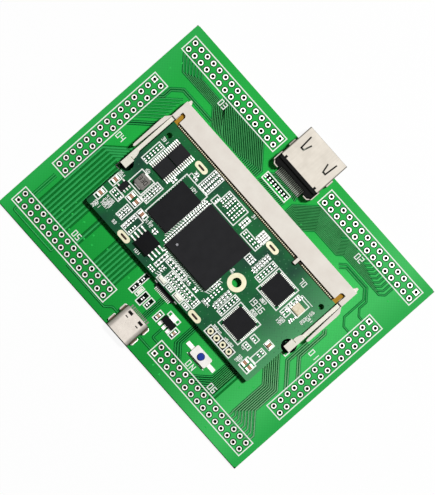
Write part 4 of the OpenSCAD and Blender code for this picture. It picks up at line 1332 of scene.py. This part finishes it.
@dataclass
class CarrierBoard:
    """The large green board: mask, tracks, plated holes, vias and print."""

    placing: PlacingRig
    ribbon: RibbonRig
    scatter: ScatterRig
    sunk: float = 0.01
    track_h: float = 0.02
    gap_h: float = 0.008
    land_r: float = 0.75
    # The ring of painted shade round each land
    ring_w: float = 0.3
    ring_h: float = 0.006
    ring_steps: int = 24
    via_r: float = 0.3
    via_h: float = 0.018
    via_apart: float = 2.6
    via_seed: int = 3
    # The disc of painted shadow under each latch's tip, and the height of all painted shade
    notch_shadow_r: float = 2.4
    notch_shadow_steps: int = 32
    shade_h: float = 0.012
    notch_shadow_at: Point = (33.8, -3.4)
    switch_print_w: float = 0.28
    tab_w: float = 0.32
    tab_h: float = 0.05
    groups: tuple[TrackGroup, ...] = (
        TrackGroup(
            "rear_",
            REAR_GAP,
            REAR_TRACK,
            (
                Bundle(
                    ((-13.1, 29.9), (-13.1, 28.7), (-7.5, 23.1), (-7.5, 20.8)),
                    ((-0.74, 0), (-0.74, 0), (-0.6, -0.14), (-0.6, 0)),
                    17,
                ),
                Bundle(((-25.7, 29.9), (-25.7, 28.7), (-17.9, 20.9)), ((-0.74, 0),), 6),
                Bundle(
                    ((-46.4, 29.9), (-46.4, 28.7), (-42.7, 25.0), (-30.0, 25.0), (-25.9, 20.9)),
                    ((1.27, 0), (1.27, 0), (0.85, 0.42), (0.32, 0.42), (0.62, 0)),
                    7,
                ),
                Bundle(
                    ((21.3, 29.9), (20.4, 29.0), (11.1, 29.0), (5.4, 23.3), (5.4, 20.2)),
                    ((0.46, 0), (0.1, -0.36), (0.24, -0.36), (0.42, -0.18), (0.42, 0)),
                    5,
                ),
                Bundle(
                    (
                        (27.36, 29.9),
                        (27.36, 29.89),
                        (26.13, 28.66),
                        (23.06, 28.66),
                        (21.6, 27.2),
                        (12.3, 27.2),
                        (7.5, 22.4),
                        (7.5, 20.2),
                    ),
                    (
                        (1.27, 0),
                        (1.27, -0.36),
                        (1.27, -0.36),
                        (0.2, -0.36),
                        (0.2, -0.36),
                        (0.24, -0.36),
                        (0.42, -0.18),
                        (0.42, 0),
                    ),
                    12,
                ),
                Bundle(
                    (
                        (27.0, 21.4),
                        (28.5, 22.9),
                        (36.0, 22.9),
                        (38.3, 20.6),
                        (38.3, 13.4),
                        (40.2, 11.5),
                        (43.0, 11.5),
                    )
                ),
                Bundle(
                    (
                        (26.2, 22.0),
                        (27.8, 23.6),
                        (36.4, 23.6),
                        (39.3, 20.7),
                        (39.3, 18.1),
                        (40.9, 16.5),
                        (43.0, 16.5),
                    )
                ),
                Bundle(
                    ((-27.2, 21.5), (-38.6, 21.5), (-41.0, 19.1), (-41.0, 16.4), (-43.0, 14.4)),
                    ((0, 0.62), (-0.3, 0.62), (-0.6, 0.3), (-0.6, 0.3), (0, 0.9)),
                    2,
                ),
                Bundle(
                    ((-4.5, 25.8), (-4.5, 25.3), (-5.5, 24.3)),
                    ((0.5, 0), (0.5, 0), (0.58, 0)),
                    19,
                ),
                Bundle(((-5.9, 22.0), (-6.4, 20.7)), ((0.58, 0), (0.6, 0)), 17),
            ),
        ),
        TrackGroup(
            "left_",
            FAINT_GAP,
            FAINT_TRACK,
            (
                Bundle(((-43.2, 6.0), (-36.9, 12.3)), ((0, 1.27),), 7),
                Bundle(((-45.05, -29.9), (-45.05, -20.6)), ((0.7, 0),), 2),
                Bundle(((-45.3, -33.4), (-45.3, -35.7), (-29.7, -35.7), (-29.7, -33.4))),
            ),
        ),
        TrackGroup(
            "wide_",
            WIDE_GAP,
            WIDE_TRACK,
            (
                Bundle(
                    ((-41.87, -29.9), (-41.87, -5.75), (-35.9, 0.22)),
                    ((1.265, 0), (1.265, 0.2), (0, -1.065)),
                    5,
                ),
                Bundle(((-35.55, -29.9), (-35.55, -5.4)), ((1.265, 0), (1.265, -0.3)), 4),
                Bundle(((-26.7, -29.9), (-26.7, -12.0)), ((1.2, 0),)),
                Bundle(((-19.1, -29.9), (-19.1, -14.0)), ((1.265, 0),), 7),
                Bundle(((30.7, -17.0), (30.7, -29.9)), ((1.2, 0),)),
            ),
            0.6,
            0.6,
        ),
        TrackGroup(
            "",
            GAP_MASK,
            TRACK_MASK,
            (
                Bundle(((-42.35, 3.8), (-36.2, 9.95)), ((0, 0.95),), 2),
                Bundle(((-24.0, -34.9), (-8.4, -34.9), (-6.6, -33.1), (-4.4, -33.1))),
                Bundle(((4.4, -33.1), (9.6, -33.1))),
                Bundle(((7.1, -26.5), (7.1, -30.4), (9.6, -30.4))),
                Bundle(
                    ((12.4, -17.0), (12.4, -26.6), (15.7, -29.9)),
                    ((0.55, 0), (0.55, 0.55), (1.1, 0)),
                    3,
                ),
                Bundle(
                    ((26.4, -17.0), (26.4, -25.2), (21.7, -29.9)),
                    ((0.5, 0), (0.5, -0.4), (0.9, 0)),
                    8,
                ),
                Bundle(
                    ((33.5, -6.5), (41.4, -14.4), (41.4, -22.5), (46.4, -27.5), (46.4, -29.9)),
                    ((0, -0.82), (-0.58, -0.24), (-0.58, -0.69), (-1.27, 0)),
                    8,
                ),
                Bundle(
                    ((37.4, 7.4), (38.5, 6.3), (38.5, -3.2), (43.0, -7.7)),
                    ((-0.1, -0.9), (-0.6, -0.4), (-0.6, -0.25), (0, -0.85)),
                    2,
                ),
                Bundle(
                    ((36.6, 1.0), (36.6, -6.6), (43.0, -13.0)),
                    ((0.65, 0), (0.65, 0.3), (0, 0.95)),
                    2,
                ),
                Bundle(((0.7, -20.9), (0.7, -28.6)), ((0.5, 0),), 3),
            ),
        ),
    )
    # Printed boxes with near-black painted shade inside
    shaded_boxes: tuple[tuple[float, float, float, float], ...] = (
        (-7.3, -26.2, -6.1, -19.4),
        (-3.6, -27.0, -2.1, -23.5),
        (-1.3, -26.2, -0.1, -23.5),
        (3.1, -26.6, 4.4, -24.2),
        (9.7, -26.6, 10.9, -24.2),
        (-4.8, 25.7, 4.8, 28.2),
        (-5.95, 22.8, 3.15, 24.1),
    )
    via_fields: tuple[tuple[Point, Point], ...] = (
        ((-38.0, -28.0), (-8.5, -20.0)),
        ((33.0, -28.0), (36.5, -14.0)),
        ((9.8, 21.5), (11.5, 22.5)),
        ((38.0, 25.0), (48.5, 28.0)),
        ((10.0, -36.6), (48.0, -35.2)),
        ((-48.0, 22.0), (-44.0, 27.0)),
    )
    switch_line: tuple[Point, ...] = ((16.6, -25.95), (23.3, -25.95))
    tab_lines: tuple[tuple[Point, ...], ...] = (
        ((4.35, -29.75), (4.95, -29.85), (4.95, -31.85), (4.6, -32.0)),
        ((4.6, -33.85), (4.95, -34.0), (4.95, -36.1), (4.5, -36.3)),
    )

    @cached_property
    def top(self) -> float:
        """The height of the board's top face."""
        return top_of("carrier_board")

    @cached_property
    def land_nodes(self) -> list[str]:
        """The nodes of the plated header holes."""
        return [node for node in sorted(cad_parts) if node.startswith("header_pads")]

    def make(self) -> None:
        """Builds and dresses the board's pieces."""
        dress(CARRIER_MASK, "carrier_board")
        dress(TIN, *self.land_nodes)
        dress(INK, "carrier_print")
        self.tracks()
        self.land_shade_rings()
        self.scatter.strew(
            "carrier_vias",
            dome(self.via_r, self.via_h),
            self.via_fields,
            self.top,
            self.via_apart,
            VIA_MASK,
            Slot.TRACK,
            self.via_seed,
        )
        self.notch_shadows()
        self.outlines()
        self.box_shades()

    def tracks(self) -> None:
        """Lays the copper tracks under the mask, each between two etched gaps."""
        low = self.top - 2 * self.sunk
        for group in self.groups:
            start = f"carrier_{group.name}track"
            high = self.top + self.gap_h
            self.ribbon.lay(
                f"{start}_gaps", group.gaps(), group.gap_w, low, high, group.gap, Slot.CARRIER_MASK
            )
            self.ribbon.lay(
                f"{start}_lines",
                group.lines(),
                group.track_w,
                low,
                self.top + self.track_h,
                group.track,
                Slot.TRACK,
                replaces=[] if group.name else ["carrier_tracks"],
            )

    def land_shade_rings(self) -> None:
        """Sets the dull ring of painted shade round each land."""
        inner, outer = self.land_r, self.land_r + self.ring_w
        section = [(inner, 0.0), (outer, 0.0), (outer, self.ring_h), (inner, self.ring_h)]
        stands = [
            Stand(box.centre.x, box.centre.y, self.top)
            for node in self.land_nodes
            for box in solid_boxes(node)
            if box.centre.z > self.top / 2
        ]
        ring = turned(section, self.ring_steps, False)
        self.placing.place("header_land_rings", ring, stands, LAND_SHADE, Slot.CARRIER_MASK)

    def notch_shadows(self) -> None:
        """Sets a disc of painted shadow where the module is cut away round a latch's tip."""
        x, y = self.notch_shadow_at
        stands = [Stand(side * x, y, self.top) for side in (-1, 1)]
        ground = dome(self.notch_shadow_r, self.shade_h, self.notch_shadow_steps)
        self.placing.place("latch_recesses", ground, stands, SHADE_ON_MASK, Slot.CARRIER_MASK)

    def outlines(self) -> None:
        """Prints the line by the switch and sets the tabs beside the power port."""
        low = self.top - self.sunk
        self.ribbon.lay(
            "switch_outline",
            [list(self.switch_line)],
            self.switch_print_w,
            low,
            self.top + self.track_h,
            INK,
            Slot.PRINT,
        )
        tabs = [[(side * x, y) for x, y in line] for side in (-1, 1) for line in self.tab_lines]
        high = self.top + self.tab_h
        self.ribbon.lay("power_port_tabs", tabs, self.tab_w, low, high, BRIGHT_TIN, Slot.TIN)

    def box_shades(self) -> None:
        """Lays near-black painted shade inside the printed boxes."""
        for number, (x0, y0, x1, y1) in enumerate(self.shaded_boxes):
            middle = (x0 + x1) / 2
            self.ribbon.lay(
                f"open_ground_{number}",
                [[(middle, y0), (middle, y1)]],
                x1 - x0,
                self.top - self.sunk,
                self.top + self.shade_h,
                SHADE_ON_MASK,
                Slot.CARRIER_MASK,
            )


@dataclass
class VideoPort:
    """The wide port at the rear edge: folded shell, black block with its tongue, contacts."""

    fold_r: float = 0.088
    block_r: float = 0.25

    def make(self) -> None:
        """Builds and dresses the port's pieces."""
        round_off("video_port_shell", "video_shell", STAMPED_SHELL, self.fold_r)
        round_off("video_port_block", "video_block", BLACK_POLYMER, self.block_r, 3)
        dress(DULL_TIN, "video_port_contacts")


@dataclass
class PowerPort:
    """The round-ended port at the front edge: drawn shell, tongue, contacts."""

    fold_r: float = 0.06
    tongue_r: float = 0.08

    def make(self) -> None:
        """Builds and dresses the port's pieces."""
        round_off("power_port_shell", "power_shell", DRAWN_SHELL, self.fold_r)
        round_off("power_port_tongue", "power_tongue", BLACK_POLYMER, self.tongue_r)
        dress(DULL_TIN, "power_port_contacts")


@dataclass
class PressSwitch:
    """The white press switch with its blue button."""

    cover_r: float = 0.12
    button_r: float = 0.18
    leg_r: float = 0.05

    def make(self) -> None:
        """Builds and dresses the switch's pieces."""
        dress(WHITE_NYLON, "switch_base")
        round_off("switch_cover", "switch_top_cover", WHITE_NYLON, self.cover_r, 3)
        round_off(
            "switch_button",
            "switch_push_button",
            BLUE_ACETAL,
            self.button_r,
            4,
            Body.BUTTON,
        )
        dress(STAMPED_SHELL, "switch_dome")
        round_off("switch_legs", "switch_feet", TIN, self.leg_r)


@dataclass
class ModuleSocket:
    """The ivory edge socket with its contacts and two latches."""

    placing: PlacingRig
    ribbon: RibbonRig
    edge_r: float = 0.12
    pitch: float = 0.6
    tip_y: float = 14.13
    tip_size: Triple = (0.32, 0.34, 0.06)
    reach: float = 32.2
    key: Point = (16.4, 19.6)
    # The strip of painted shadow under the socket's lip
    mouth_y: float = 14.16
    mouth_w: float = 1.02
    mouth_runs: tuple[Point, ...] = ((-32.35, 17.35), (18.4, 32.35))
    shade_h: float = 0.02
    sunk: float = 0.01

    def make(self) -> None:
        """Builds and dresses the socket's pieces."""
        round_off("socket_housing", "socket_moulding", IVORY, self.edge_r)
        for side, body in (("left", Body.LEFT_LATCH), ("right", Body.RIGHT_LATCH)):
            node, name = f"latch_{side}", f"{side}_latch_arm"
            round_off(node, name, WARM_IVORY, self.edge_r, 3, body)
        dress(HARD_GOLD, "socket_contacts_upper", "socket_contacts_lower")
        self.tips()

    def tips(self) -> None:
        """Sets the row of contact tips that shows at the mouth, on a strip of painted shadow."""
        z = top_of("edge_contacts_top")
        low, high = z - self.sunk, z + self.shade_h
        lines = [[(a, self.mouth_y), (b, self.mouth_y)] for a, b in self.mouth_runs]
        self.ribbon.lay("mouth_ground", lines, self.mouth_w, low, high, LIP_SHADOW, Slot.MODULE_MASK)
        count = round(2 * self.reach / self.pitch)
        along = [-self.reach + (k + 0.5) * self.pitch for k in range(count)]
        stands = [Stand(x, self.tip_y, high) for x in along if not self.key[0] < x < self.key[1]]
        self.placing.place("contact_tips", brick(self.tip_size), stands, PALE_GOLD, Slot.GOLD)


@dataclass
class LogicModule:
    """The dark green plug-in board with its plated holes, edge contacts, vias and print."""

    placing: PlacingRig
    ribbon: RibbonRig
    scatter: ScatterRig
    via_r: float = 0.17
    via_h: float = 0.012
    via_apart: float = 1.2
    via_seed: int = 11
    via_steps: int = 8
    stroke: float = 0.23
    stroke_bend: float = 0.03
    print_h: float = 0.02
    sunk: float = 0.01
    probe_row: tuple[Point, Point] = ((15.6, -17.1), (25.5, -17.1))
    probe_w: float = 2.35
    probe_h: float = 0.008
    slot_ratio: float = 1.5
    # The dark slab of painted shade in each plated slot
    slot_shade_reach: float = 0.85
    slot_shade_w: float = 0.62
    slot_shade_deep: float = 0.8
    slot_shade_proud: float = 0.05
    numbers: tuple[Number, ...] = (
        Number(-32.6, 8.05, "311", 1.0),
        Number(-17.1, 4.9, "104", 0.95),
        Number(-29.0, -1.4, "57", 0.95),
        Number(-33.6, -7.0, "351", 0.9),
        Number(-30.7, -14.1, "4186"),
        Number(-30.7, -15.2, "2366"),
        Number(-30.7, -16.3, "7051"),
        Number(-31.1, -18.7, "390", 0.9, True),
        Number(-18.4, -10.6, "412", 1.0),
        Number(-14.8, -18.2, "101", 0.95),
        Number(-19.5, 8.4, "76", 1.0),
        Number(-24.6, -17.4, "63", 0.8),
        *(Number(10.9, 8.1 - 1.25 * k, str(231 + k)) for k in range(5)),
        *(Number(11.2, -6.7 - 1.2 * k, str(511 + k)) for k in range(5)),
        Number(19.0, -1.15, "207", 0.9),
        Number(19.6, -5.1, "208", 0.9),
        Number(15.7, -15.85, "30214", 0.8),
        Number(20.6, -15.85, "45107", 0.8),
        Number(26.6, -16.2, "33"),
        Number(26.6, -17.3, "31"),
        Number(26.1, -0.5, "160"),
        Number(26.1, -1.6, "194"),
        Number(31.9, 3.0, "2834165", upright=True),
        Number(32.1, 5.2, "11"),
        Number(8.4, -13.4, "3624"),
        Number(0.2, 12.5, "31", 0.9),
        Number(8.4, -2.0, "21", 0.9, True),
        Number(1.0, -13.3, "216", 0.9),
        Number(25.2, -13.7, "43", 0.8),
    )
    hatches: tuple[Hatch, ...] = (
        Hatch(-24.7, -7.0, -22.2, -0.8, 8),
        Hatch(-25.4, -15.3, -23.5, -11.1, 6),
        Hatch(-22.0, -16.2, -20.5, -11.1, 7),
        Hatch(-14.95, 7.2, -14.05, 13.6, 9),
        Hatch(-13.6, 7.2, -12.8, 13.6, 9),
        Hatch(-11.9, -9.0, -11.2, 6.5, 19),
        Hatch(-7.3, 8.4, -6.7, 12.7, 7),
        Hatch(-9.6, -11.75, 7.0, -11.3, 26, True),
        Hatch(-3.0, -15.8, 7.0, -15.35, 18, True),
        Hatch(5.4, 9.8, 8.2, 12.4, 6),
        Hatch(7.6, -10.8, 8.6, -5.4, 8),
        Hatch(-20.7, -4.0, -20.2, 6.5, 14),
        Hatch(-5.9, -17.9, -4.6, -14.4, 5),
    )
    outlines: tuple[Line, ...] = (
        [(-9.95, 6.7), (-9.95, -10.95), (7.45, -10.95), (7.45, -5.2)],
        [(8.65, -13.9), (8.65, -16.3)],
        [(-19.9, 7.1), (-19.9, 8.1), (-17.3, 8.1), (-17.3, 7.1)],
        [(-31.0, -10.2), (-27.6, -10.2)],
        [(25.9, 0.6), (25.9, 8.6), (30.2, 8.6)],
        *([(x, -15.9), (x, -18.4)] for x in (17.85, 20.4, 22.95)),
    )
    via_fields: tuple[tuple[Point, Point], ...] = (
        ((-32.0, -9.0), (-10.5, 13.0)),
        ((-9.0, 7.0), (16.0, 13.0)),
        ((7.8, -17.5), (33.0, 12.5)),
        ((-32.0, -17.8), (8.0, -11.2)),
    )

    @cached_property
    def top(self) -> float:
        """The height of the module's top face."""
        return top_of("module_board")

    def make(self) -> None:
        """Builds and dresses the module's pieces."""
        dress(MODULE_MASK, "module_board")
        dress(PALE_GOLD, "module_plated_holes")
        dress(HARD_GOLD, "edge_contacts_top", "edge_contacts_bottom")
        dress(INK, "module_print")
        self.scatter.strew(
            "module_vias",
            dome(self.via_r, self.via_h, self.via_steps),
            self.via_fields,
            self.top,
            self.via_apart,
            MODULE_VIA,
            Slot.MODULE_MASK,
            self.via_seed,
        )
        self.small_print()
        self.slot_shades()
        self.probe_ground()

    def small_print(self) -> None:
        """Prints the part numbers and the strokes between the small parts."""
        lines = [line for mark in (*self.numbers, *self.hatches) for line in mark.lines()]
        self.ribbon.lay(
            "module_small_print",
            [*lines, *self.outlines],
            self.stroke,
            self.top - self.sunk,
            self.top + self.print_h,
            INK,
            Slot.PRINT,
            self.stroke_bend,
        )

    def slot_shades(self) -> None:
        """Fills the plated slots with a dark slab of painted shade."""
        lands = [b for b in solid_boxes("module_plated_holes") if b.high.z > self.top]
        middles = [b.centre for b in lands if b.size.x > self.slot_ratio * b.size.y]
        lines = [[(m.x - self.slot_shade_reach, m.y), (m.x + self.slot_shade_reach, m.y)] for m in middles]
        self.ribbon.lay(
            "slot_resin",
            lines,
            self.slot_shade_w,
            self.top - self.slot_shade_deep,
            self.top + self.slot_shade_proud,
            SLOT_SHADE,
            Slot.MODULE_MASK,
        )

    def probe_ground(self) -> None:
        """Lays a near-black band round the probe lands, in the painted shade finish."""
        low, high = self.top - self.sunk, self.top + self.probe_h
        row = [list(self.probe_row)]
        self.ribbon.lay(
            "probe_ground", row, self.probe_w, low, high, SHADE_ON_MASK, Slot.MODULE_MASK
        )


@dataclass
class Chips:
    """The moulded chips of both boards, their leads and their solder."""

    placing: PlacingRig
    ribbon: RibbonRig
    body_r: float = 0.08
    core_r: float = 0.35
    lid_r: float = 0.06
    pad_size: Triple = (0.9, 0.34, 0.06)
    pad_reach: float = 0.1
    lead_w: float = 0.3
    widest_pad: float = 1.2
    ball_at: Point = (-7.65, -8.1)
    ball_r: float = 0.36
    ball_h: float = 0.012
    ball_steps: int = 16
    value: Number = Number(-28.6, -4.0, "330", 1.2)
    value_stroke: float = 0.2
    value_bend: float = 0.05
    value_sunk: float = 0.02
    value_proud: float = 0.01

    def make(self) -> None:
        """Builds and dresses the chips."""
        for node, name, epoxy in (
            ("main_chip_cap", "main_chip_moulding", PALE_EPOXY),
            ("memory_cap", "memory_moulding", CHIP_EPOXY),
            ("flash_body", "flash_moulding", BLACK_EPOXY),
            ("buffer_bodies", "buffer_mouldings", PALE_EPOXY),
            ("interface_bodies", "interface_mouldings", CHIP_EPOXY),
            ("converter_body", "converter_moulding", CHIP_EPOXY),
            ("controller_body", "controller_moulding", CHIP_EPOXY),
            ("regulator_body", "regulator_moulding", BLACK_EPOXY),
        ):
            round_off(node, name, epoxy, self.body_r)
        dress(SUBSTRATE, "main_chip_substrate", "memory_substrate")
        dress(
            TIN,
            "chip_solder_balls",
            "flash_leads",
            "buffer_leads",
            "interface_lands",
            "converter_leads",
            "controller_leads",
            "regulator_leads",
            "inductor_ends",
        )
        round_off("inductor_core", "inductor_block", FERRITE, self.core_r, 4)
        dress(CREAM_CERAMIC, "oscillator_base")
        round_off("oscillator_lid", "oscillator_cover", CREAM_CERAMIC, self.lid_r)
        self.pads()
        self.marks()

    def pads(self) -> None:
        """Sets the soldered pads that reach out past the gull-wing leads."""
        stands = []
        for node in ("buffer_leads", "flash_leads"):
            boxes = solid_boxes(node)
            middle = sum(box.centre.x for box in boxes) / len(boxes)
            for box in boxes:
                side = math.copysign(1.0, box.centre.x - middle)
                outer = box.high.x if side > 0 else box.low.x
                stretch = min(self.widest_pad, box.size.y / self.lead_w)
                x = outer + side * self.pad_reach
                stands.append(Stand(x, box.centre.y, box.low.z, stretch=stretch))
        self.placing.place("lead_pads", brick(self.pad_size), stands, BRIGHT_TIN, Slot.TIN)

    def marks(self) -> None:
        """Marks the first ball of the main chip and the inductor's value."""
        dot = dome(self.ball_r, self.ball_h, self.ball_steps)
        stand = Stand(*self.ball_at, top_of("main_chip_cap"))
        self.placing.place("first_ball_mark", dot, [stand], ETCHED, Slot.CHIP)
        top = top_of("inductor_core")
        self.ribbon.lay(
            "inductor_value",
            self.value.lines(),
            self.value_stroke,
            top - self.value_sunk,
            top + self.value_proud,
            DARK_INK,
            Slot.FERRITE,
            self.value_bend,
        )


@dataclass(frozen=True)
class PartRow:
    """A row of two-ended parts: the first one's place, the step, the count and a quarter turn."""

    x: float
    y: float
    dx: float = 0.0
    dy: float = 0.0
    count: int = 1
    upright: bool = False

    def stands(self, z: float) -> list[Stand]:
        """Gives where each part stands.

        Args:
            z: The height that they stand at, in millimetres.

        Returns:
            One stand for each part.
        """
        turn = math.pi / 2 if self.upright else 0.0
        steps = range(self.count)
        return [Stand(self.x + k * self.dx, self.y + k * self.dy, z, turn) for k in steps]


@dataclass
class SmallParts:
    """Two-ended resistors and capacitors, and the lamps."""

    placing: PlacingRig
    rows: tuple[PartRow, ...] = (
        PartRow(-21.6, 3.7, 0.0, -1.2, 2),
        PartRow(-18.4, 8.9),
        PartRow(-14.5, -9.9, 0.0, -0.9, 2),
        PartRow(-8.4, -11.6),
        PartRow(4.6, -12.6, 1.0, 0.0, 2, True),
        PartRow(9.6, -11.9, 0.0, -0.8, 2),
        PartRow(6.2, 9.4, 1.1, 0.0, 2),
        PartRow(26.4, 7.7, 0.0, -1.0, 6, True),
        PartRow(29.3, 2.7, 0.0, -1.4, 2, True),
        PartRow(9.9, 5.0, 0.0, -1.1, 2, True),
    )
    sway: float = 0.02
    body_size: Triple = (0.42, 0.48, 0.34)
    end_size: Triple = (0.3, 0.5, 0.36)
    end_shift: float = 0.36
    lens_r: float = 0.12

    def make(self) -> None:
        """Builds and dresses the small parts."""
        dress(BLACK_GLAZE, "module_resistors", "carrier_resistors")
        dress(TAN_CERAMIC, "module_capacitors")
        dress(PALE_TAN, "carrier_capacitors")
        dress(BRIGHT_TIN, "module_part_ends", "carrier_part_ends")
        round_off("indicator_lamps", "lamp_lenses", LAMP_EPOXY, self.lens_r, 3)
        top = top_of("module_board")
        stands = [stand for row in self.rows for stand in row.stands(top)]
        ends = brick(self.end_size, (-self.end_shift, self.end_shift))
        for name, template, finish, slot in (
            ("added_part_bodies", brick(self.body_size), BLACK_GLAZE, Slot.DARK),
            ("added_part_ends", ends, BRIGHT_TIN, Slot.TIN),
        ):
            self.placing.place(name, template, stands, finish, slot, self.sway)


@dataclass
class Studio:
    """Camera, lamp, world and a pale floor."""

    aim: Point = (0.36, -0.24)
    board_top: float = 1.6
    distance: float = 1000.0
    pixels_per_mm: float = 3.5855
    turn: float = 48.486
    sensor: float = 36.0
    clip: Point = (0.01, 20.0)
    sky: float = 0.02
    key_place: Triple = (0.12, 0.42, 1.12)
    key_size: float = 0.12
    key_watts: float = 14.8
    floor_half: float = 3.0
    floor_drop: float = 0.02
    # Half-size and rear shift of the painted shadow under the board
    shadow_reach: Point = (49.8, 37.3)
    shadow_back: float = 0.4
    floor_glow: float = 0.92

    def make(self) -> None:
        """Builds the studio."""
        self.camera()
        self.lamp()
        self.world()
        self.floor()

    def camera(self) -> None:
        """Sets the camera straight above the board, turned as in the photo."""
        lens = bpy.data.cameras.new("camera")
        lens.sensor_fit = "VERTICAL"
        lens.sensor_height = self.sensor
        lens.lens = self.distance * self.pixels_per_mm * self.sensor / PHOTO_SIZE[1]
        lens.clip_start, lens.clip_end = self.clip
        camera = link(bpy.data.objects.new("camera", lens))
        camera.location = Vector((*self.aim, self.board_top + self.distance)) * MM
        camera.rotation_euler = (0.0, 0.0, math.radians(self.turn))
        bpy.context.scene.camera = camera

    def lamp(self) -> None:
        """Hangs a soft key lamp behind the rear edge."""
        light = bpy.data.lights.new("key", "AREA")
        light.size = self.key_size
        light.energy = self.key_watts
        lamp = link(bpy.data.objects.new("key", light))
        lamp.location = self.key_place
        lamp.rotation_euler = (-Vector(self.key_place)).to_track_quat("-Z", "Y").to_euler()

    def white_rays(self, tree: bpy.types.NodeTree) -> bpy.types.NodeSocket:
        """Picks out the rays that find the surroundings white.

        Args:
            tree: A material's or the world's tree.

        Returns:
            A socket of 1 for the camera's, reflected and refracted rays, and 0 for others.
        """
        rays = add_node(tree, "ShaderNodeLightPath").outputs
        picked = rays["Is Camera Ray"]
        for kind in ("Is Glossy Ray", "Is Transmission Ray"):
            both = add_node(
                tree, "ShaderNodeMath", {0: picked, 1: rays[kind]}, operation="MAXIMUM"
            )
            picked = both.outputs[0]
        return picked

    def world(self) -> None:
        """Makes an even sky, white to the camera and in reflections."""
        world = bpy.data.worlds.new("studio")
        tree = emptied(world)
        strengths = {"Value": self.white_rays(tree), "To Min": self.sky, "To Max": 1.0}
        strength = add_node(tree, "ShaderNodeMapRange", strengths)
        back = add_node(
            tree, "ShaderNodeBackground", {"Color": WHITE, "Strength": strength.outputs[0]}
        )
        add_node(tree, "ShaderNodeOutputWorld", {"Surface": back.outputs[0]})
        bpy.context.scene.world = world

    def floor(self) -> None:
        """Lays a pale floor that stays white to the camera but keeps a soft shadow,
        and is painted dark under the board and just past its edges, a painted shadow.
        """
        mesh = built("floor", lambda work: bmesh.ops.create_grid(work, size=self.floor_half))
        mesh.transform(Matrix.Translation((0, 0, -self.floor_drop * MM)))
        floor = link(bpy.data.objects.new("floor", mesh))
        material = bpy.data.materials.new("pale_floor")
        tree = emptied(material)
        white_rays = self.white_rays(tree)
        place = add_node(tree, "ShaderNodeTexCoord").outputs["Object"]
        wide, deep = self.shadow_reach
        shares = {
            1: (1 / (wide * MM), 1 / (deep * MM), 0.0),
            2: (0.0, self.shadow_back / deep, 0.0),
        }
        reach = add_node(
            tree, "ShaderNodeVectorMath", {0: place, **shares}, operation="MULTIPLY_ADD"
        )
        apart = add_node(
            tree, "ShaderNodeVectorMath", {0: reach.outputs[0]}, operation="ABSOLUTE"
        )
        sides = add_node(tree, "ShaderNodeSeparateXYZ", {"Vector": apart.outputs[0]}).outputs
        widest = add_node(
            tree, "ShaderNodeMath", {0: sides["X"], 1: sides["Y"]}, operation="MAXIMUM"
        )
        clear = add_node(
            tree, "ShaderNodeMath", {0: widest.outputs[0], 1: 1.0}, operation="GREATER_THAN"
        )
        lit = add_node(
            tree, "ShaderNodeMath", {0: white_rays, 1: clear.outputs[0]}, operation="MULTIPLY"
        )
        share = add_node(
            tree, "ShaderNodeMath", {0: lit.outputs[0], 1: self.floor_glow}, operation="MULTIPLY"
        )
        # Painted shadow: the floor is dark grey under the board and just past its edges
        tones = {"Color1": linear("3A3A36"), "Color2": linear("F4F4F4")}
        tone = add_node(tree, "ShaderNodeMixRGB", {"Fac": clear.outputs[0], **tones})
        matte = add_node(tree, "ShaderNodeBsdfDiffuse", {"Color": tone.outputs[0]})
        white = add_node(tree, "ShaderNodeEmission", {"Color": WHITE, "Strength": 1.0})
        mixed = add_node(
            tree,
            "ShaderNodeMixShader",
            {0: share.outputs[0], 1: matte.outputs[0], 2: white.outputs[0]},
        )
        add_node(tree, "ShaderNodeOutputMaterial", {"Surface": mixed.outputs[0]})
        mesh.materials.append(material)


def main() -> None:
    """Builds every part of the scene in order."""
    logging.basicConfig(level=logging.INFO, format="%(relativeCreated)d %(name)s: %(message)s")
    bpy.context.scene.view_settings.view_transform = "Standard"
    Studio().make()
    placing, ribbon, scatter = PlacingRig(), RibbonRig(), ScatterRig()
    CarrierBoard(placing, ribbon, scatter).make()
    VideoPort().make()
    PowerPort().make()
    PressSwitch().make()
    ModuleSocket(placing, ribbon).make()
    LogicModule(placing, ribbon, scatter).make()
    Chips(placing, ribbon).make()
    SmallParts(placing).make()


if __name__ == "__main__":
    main()
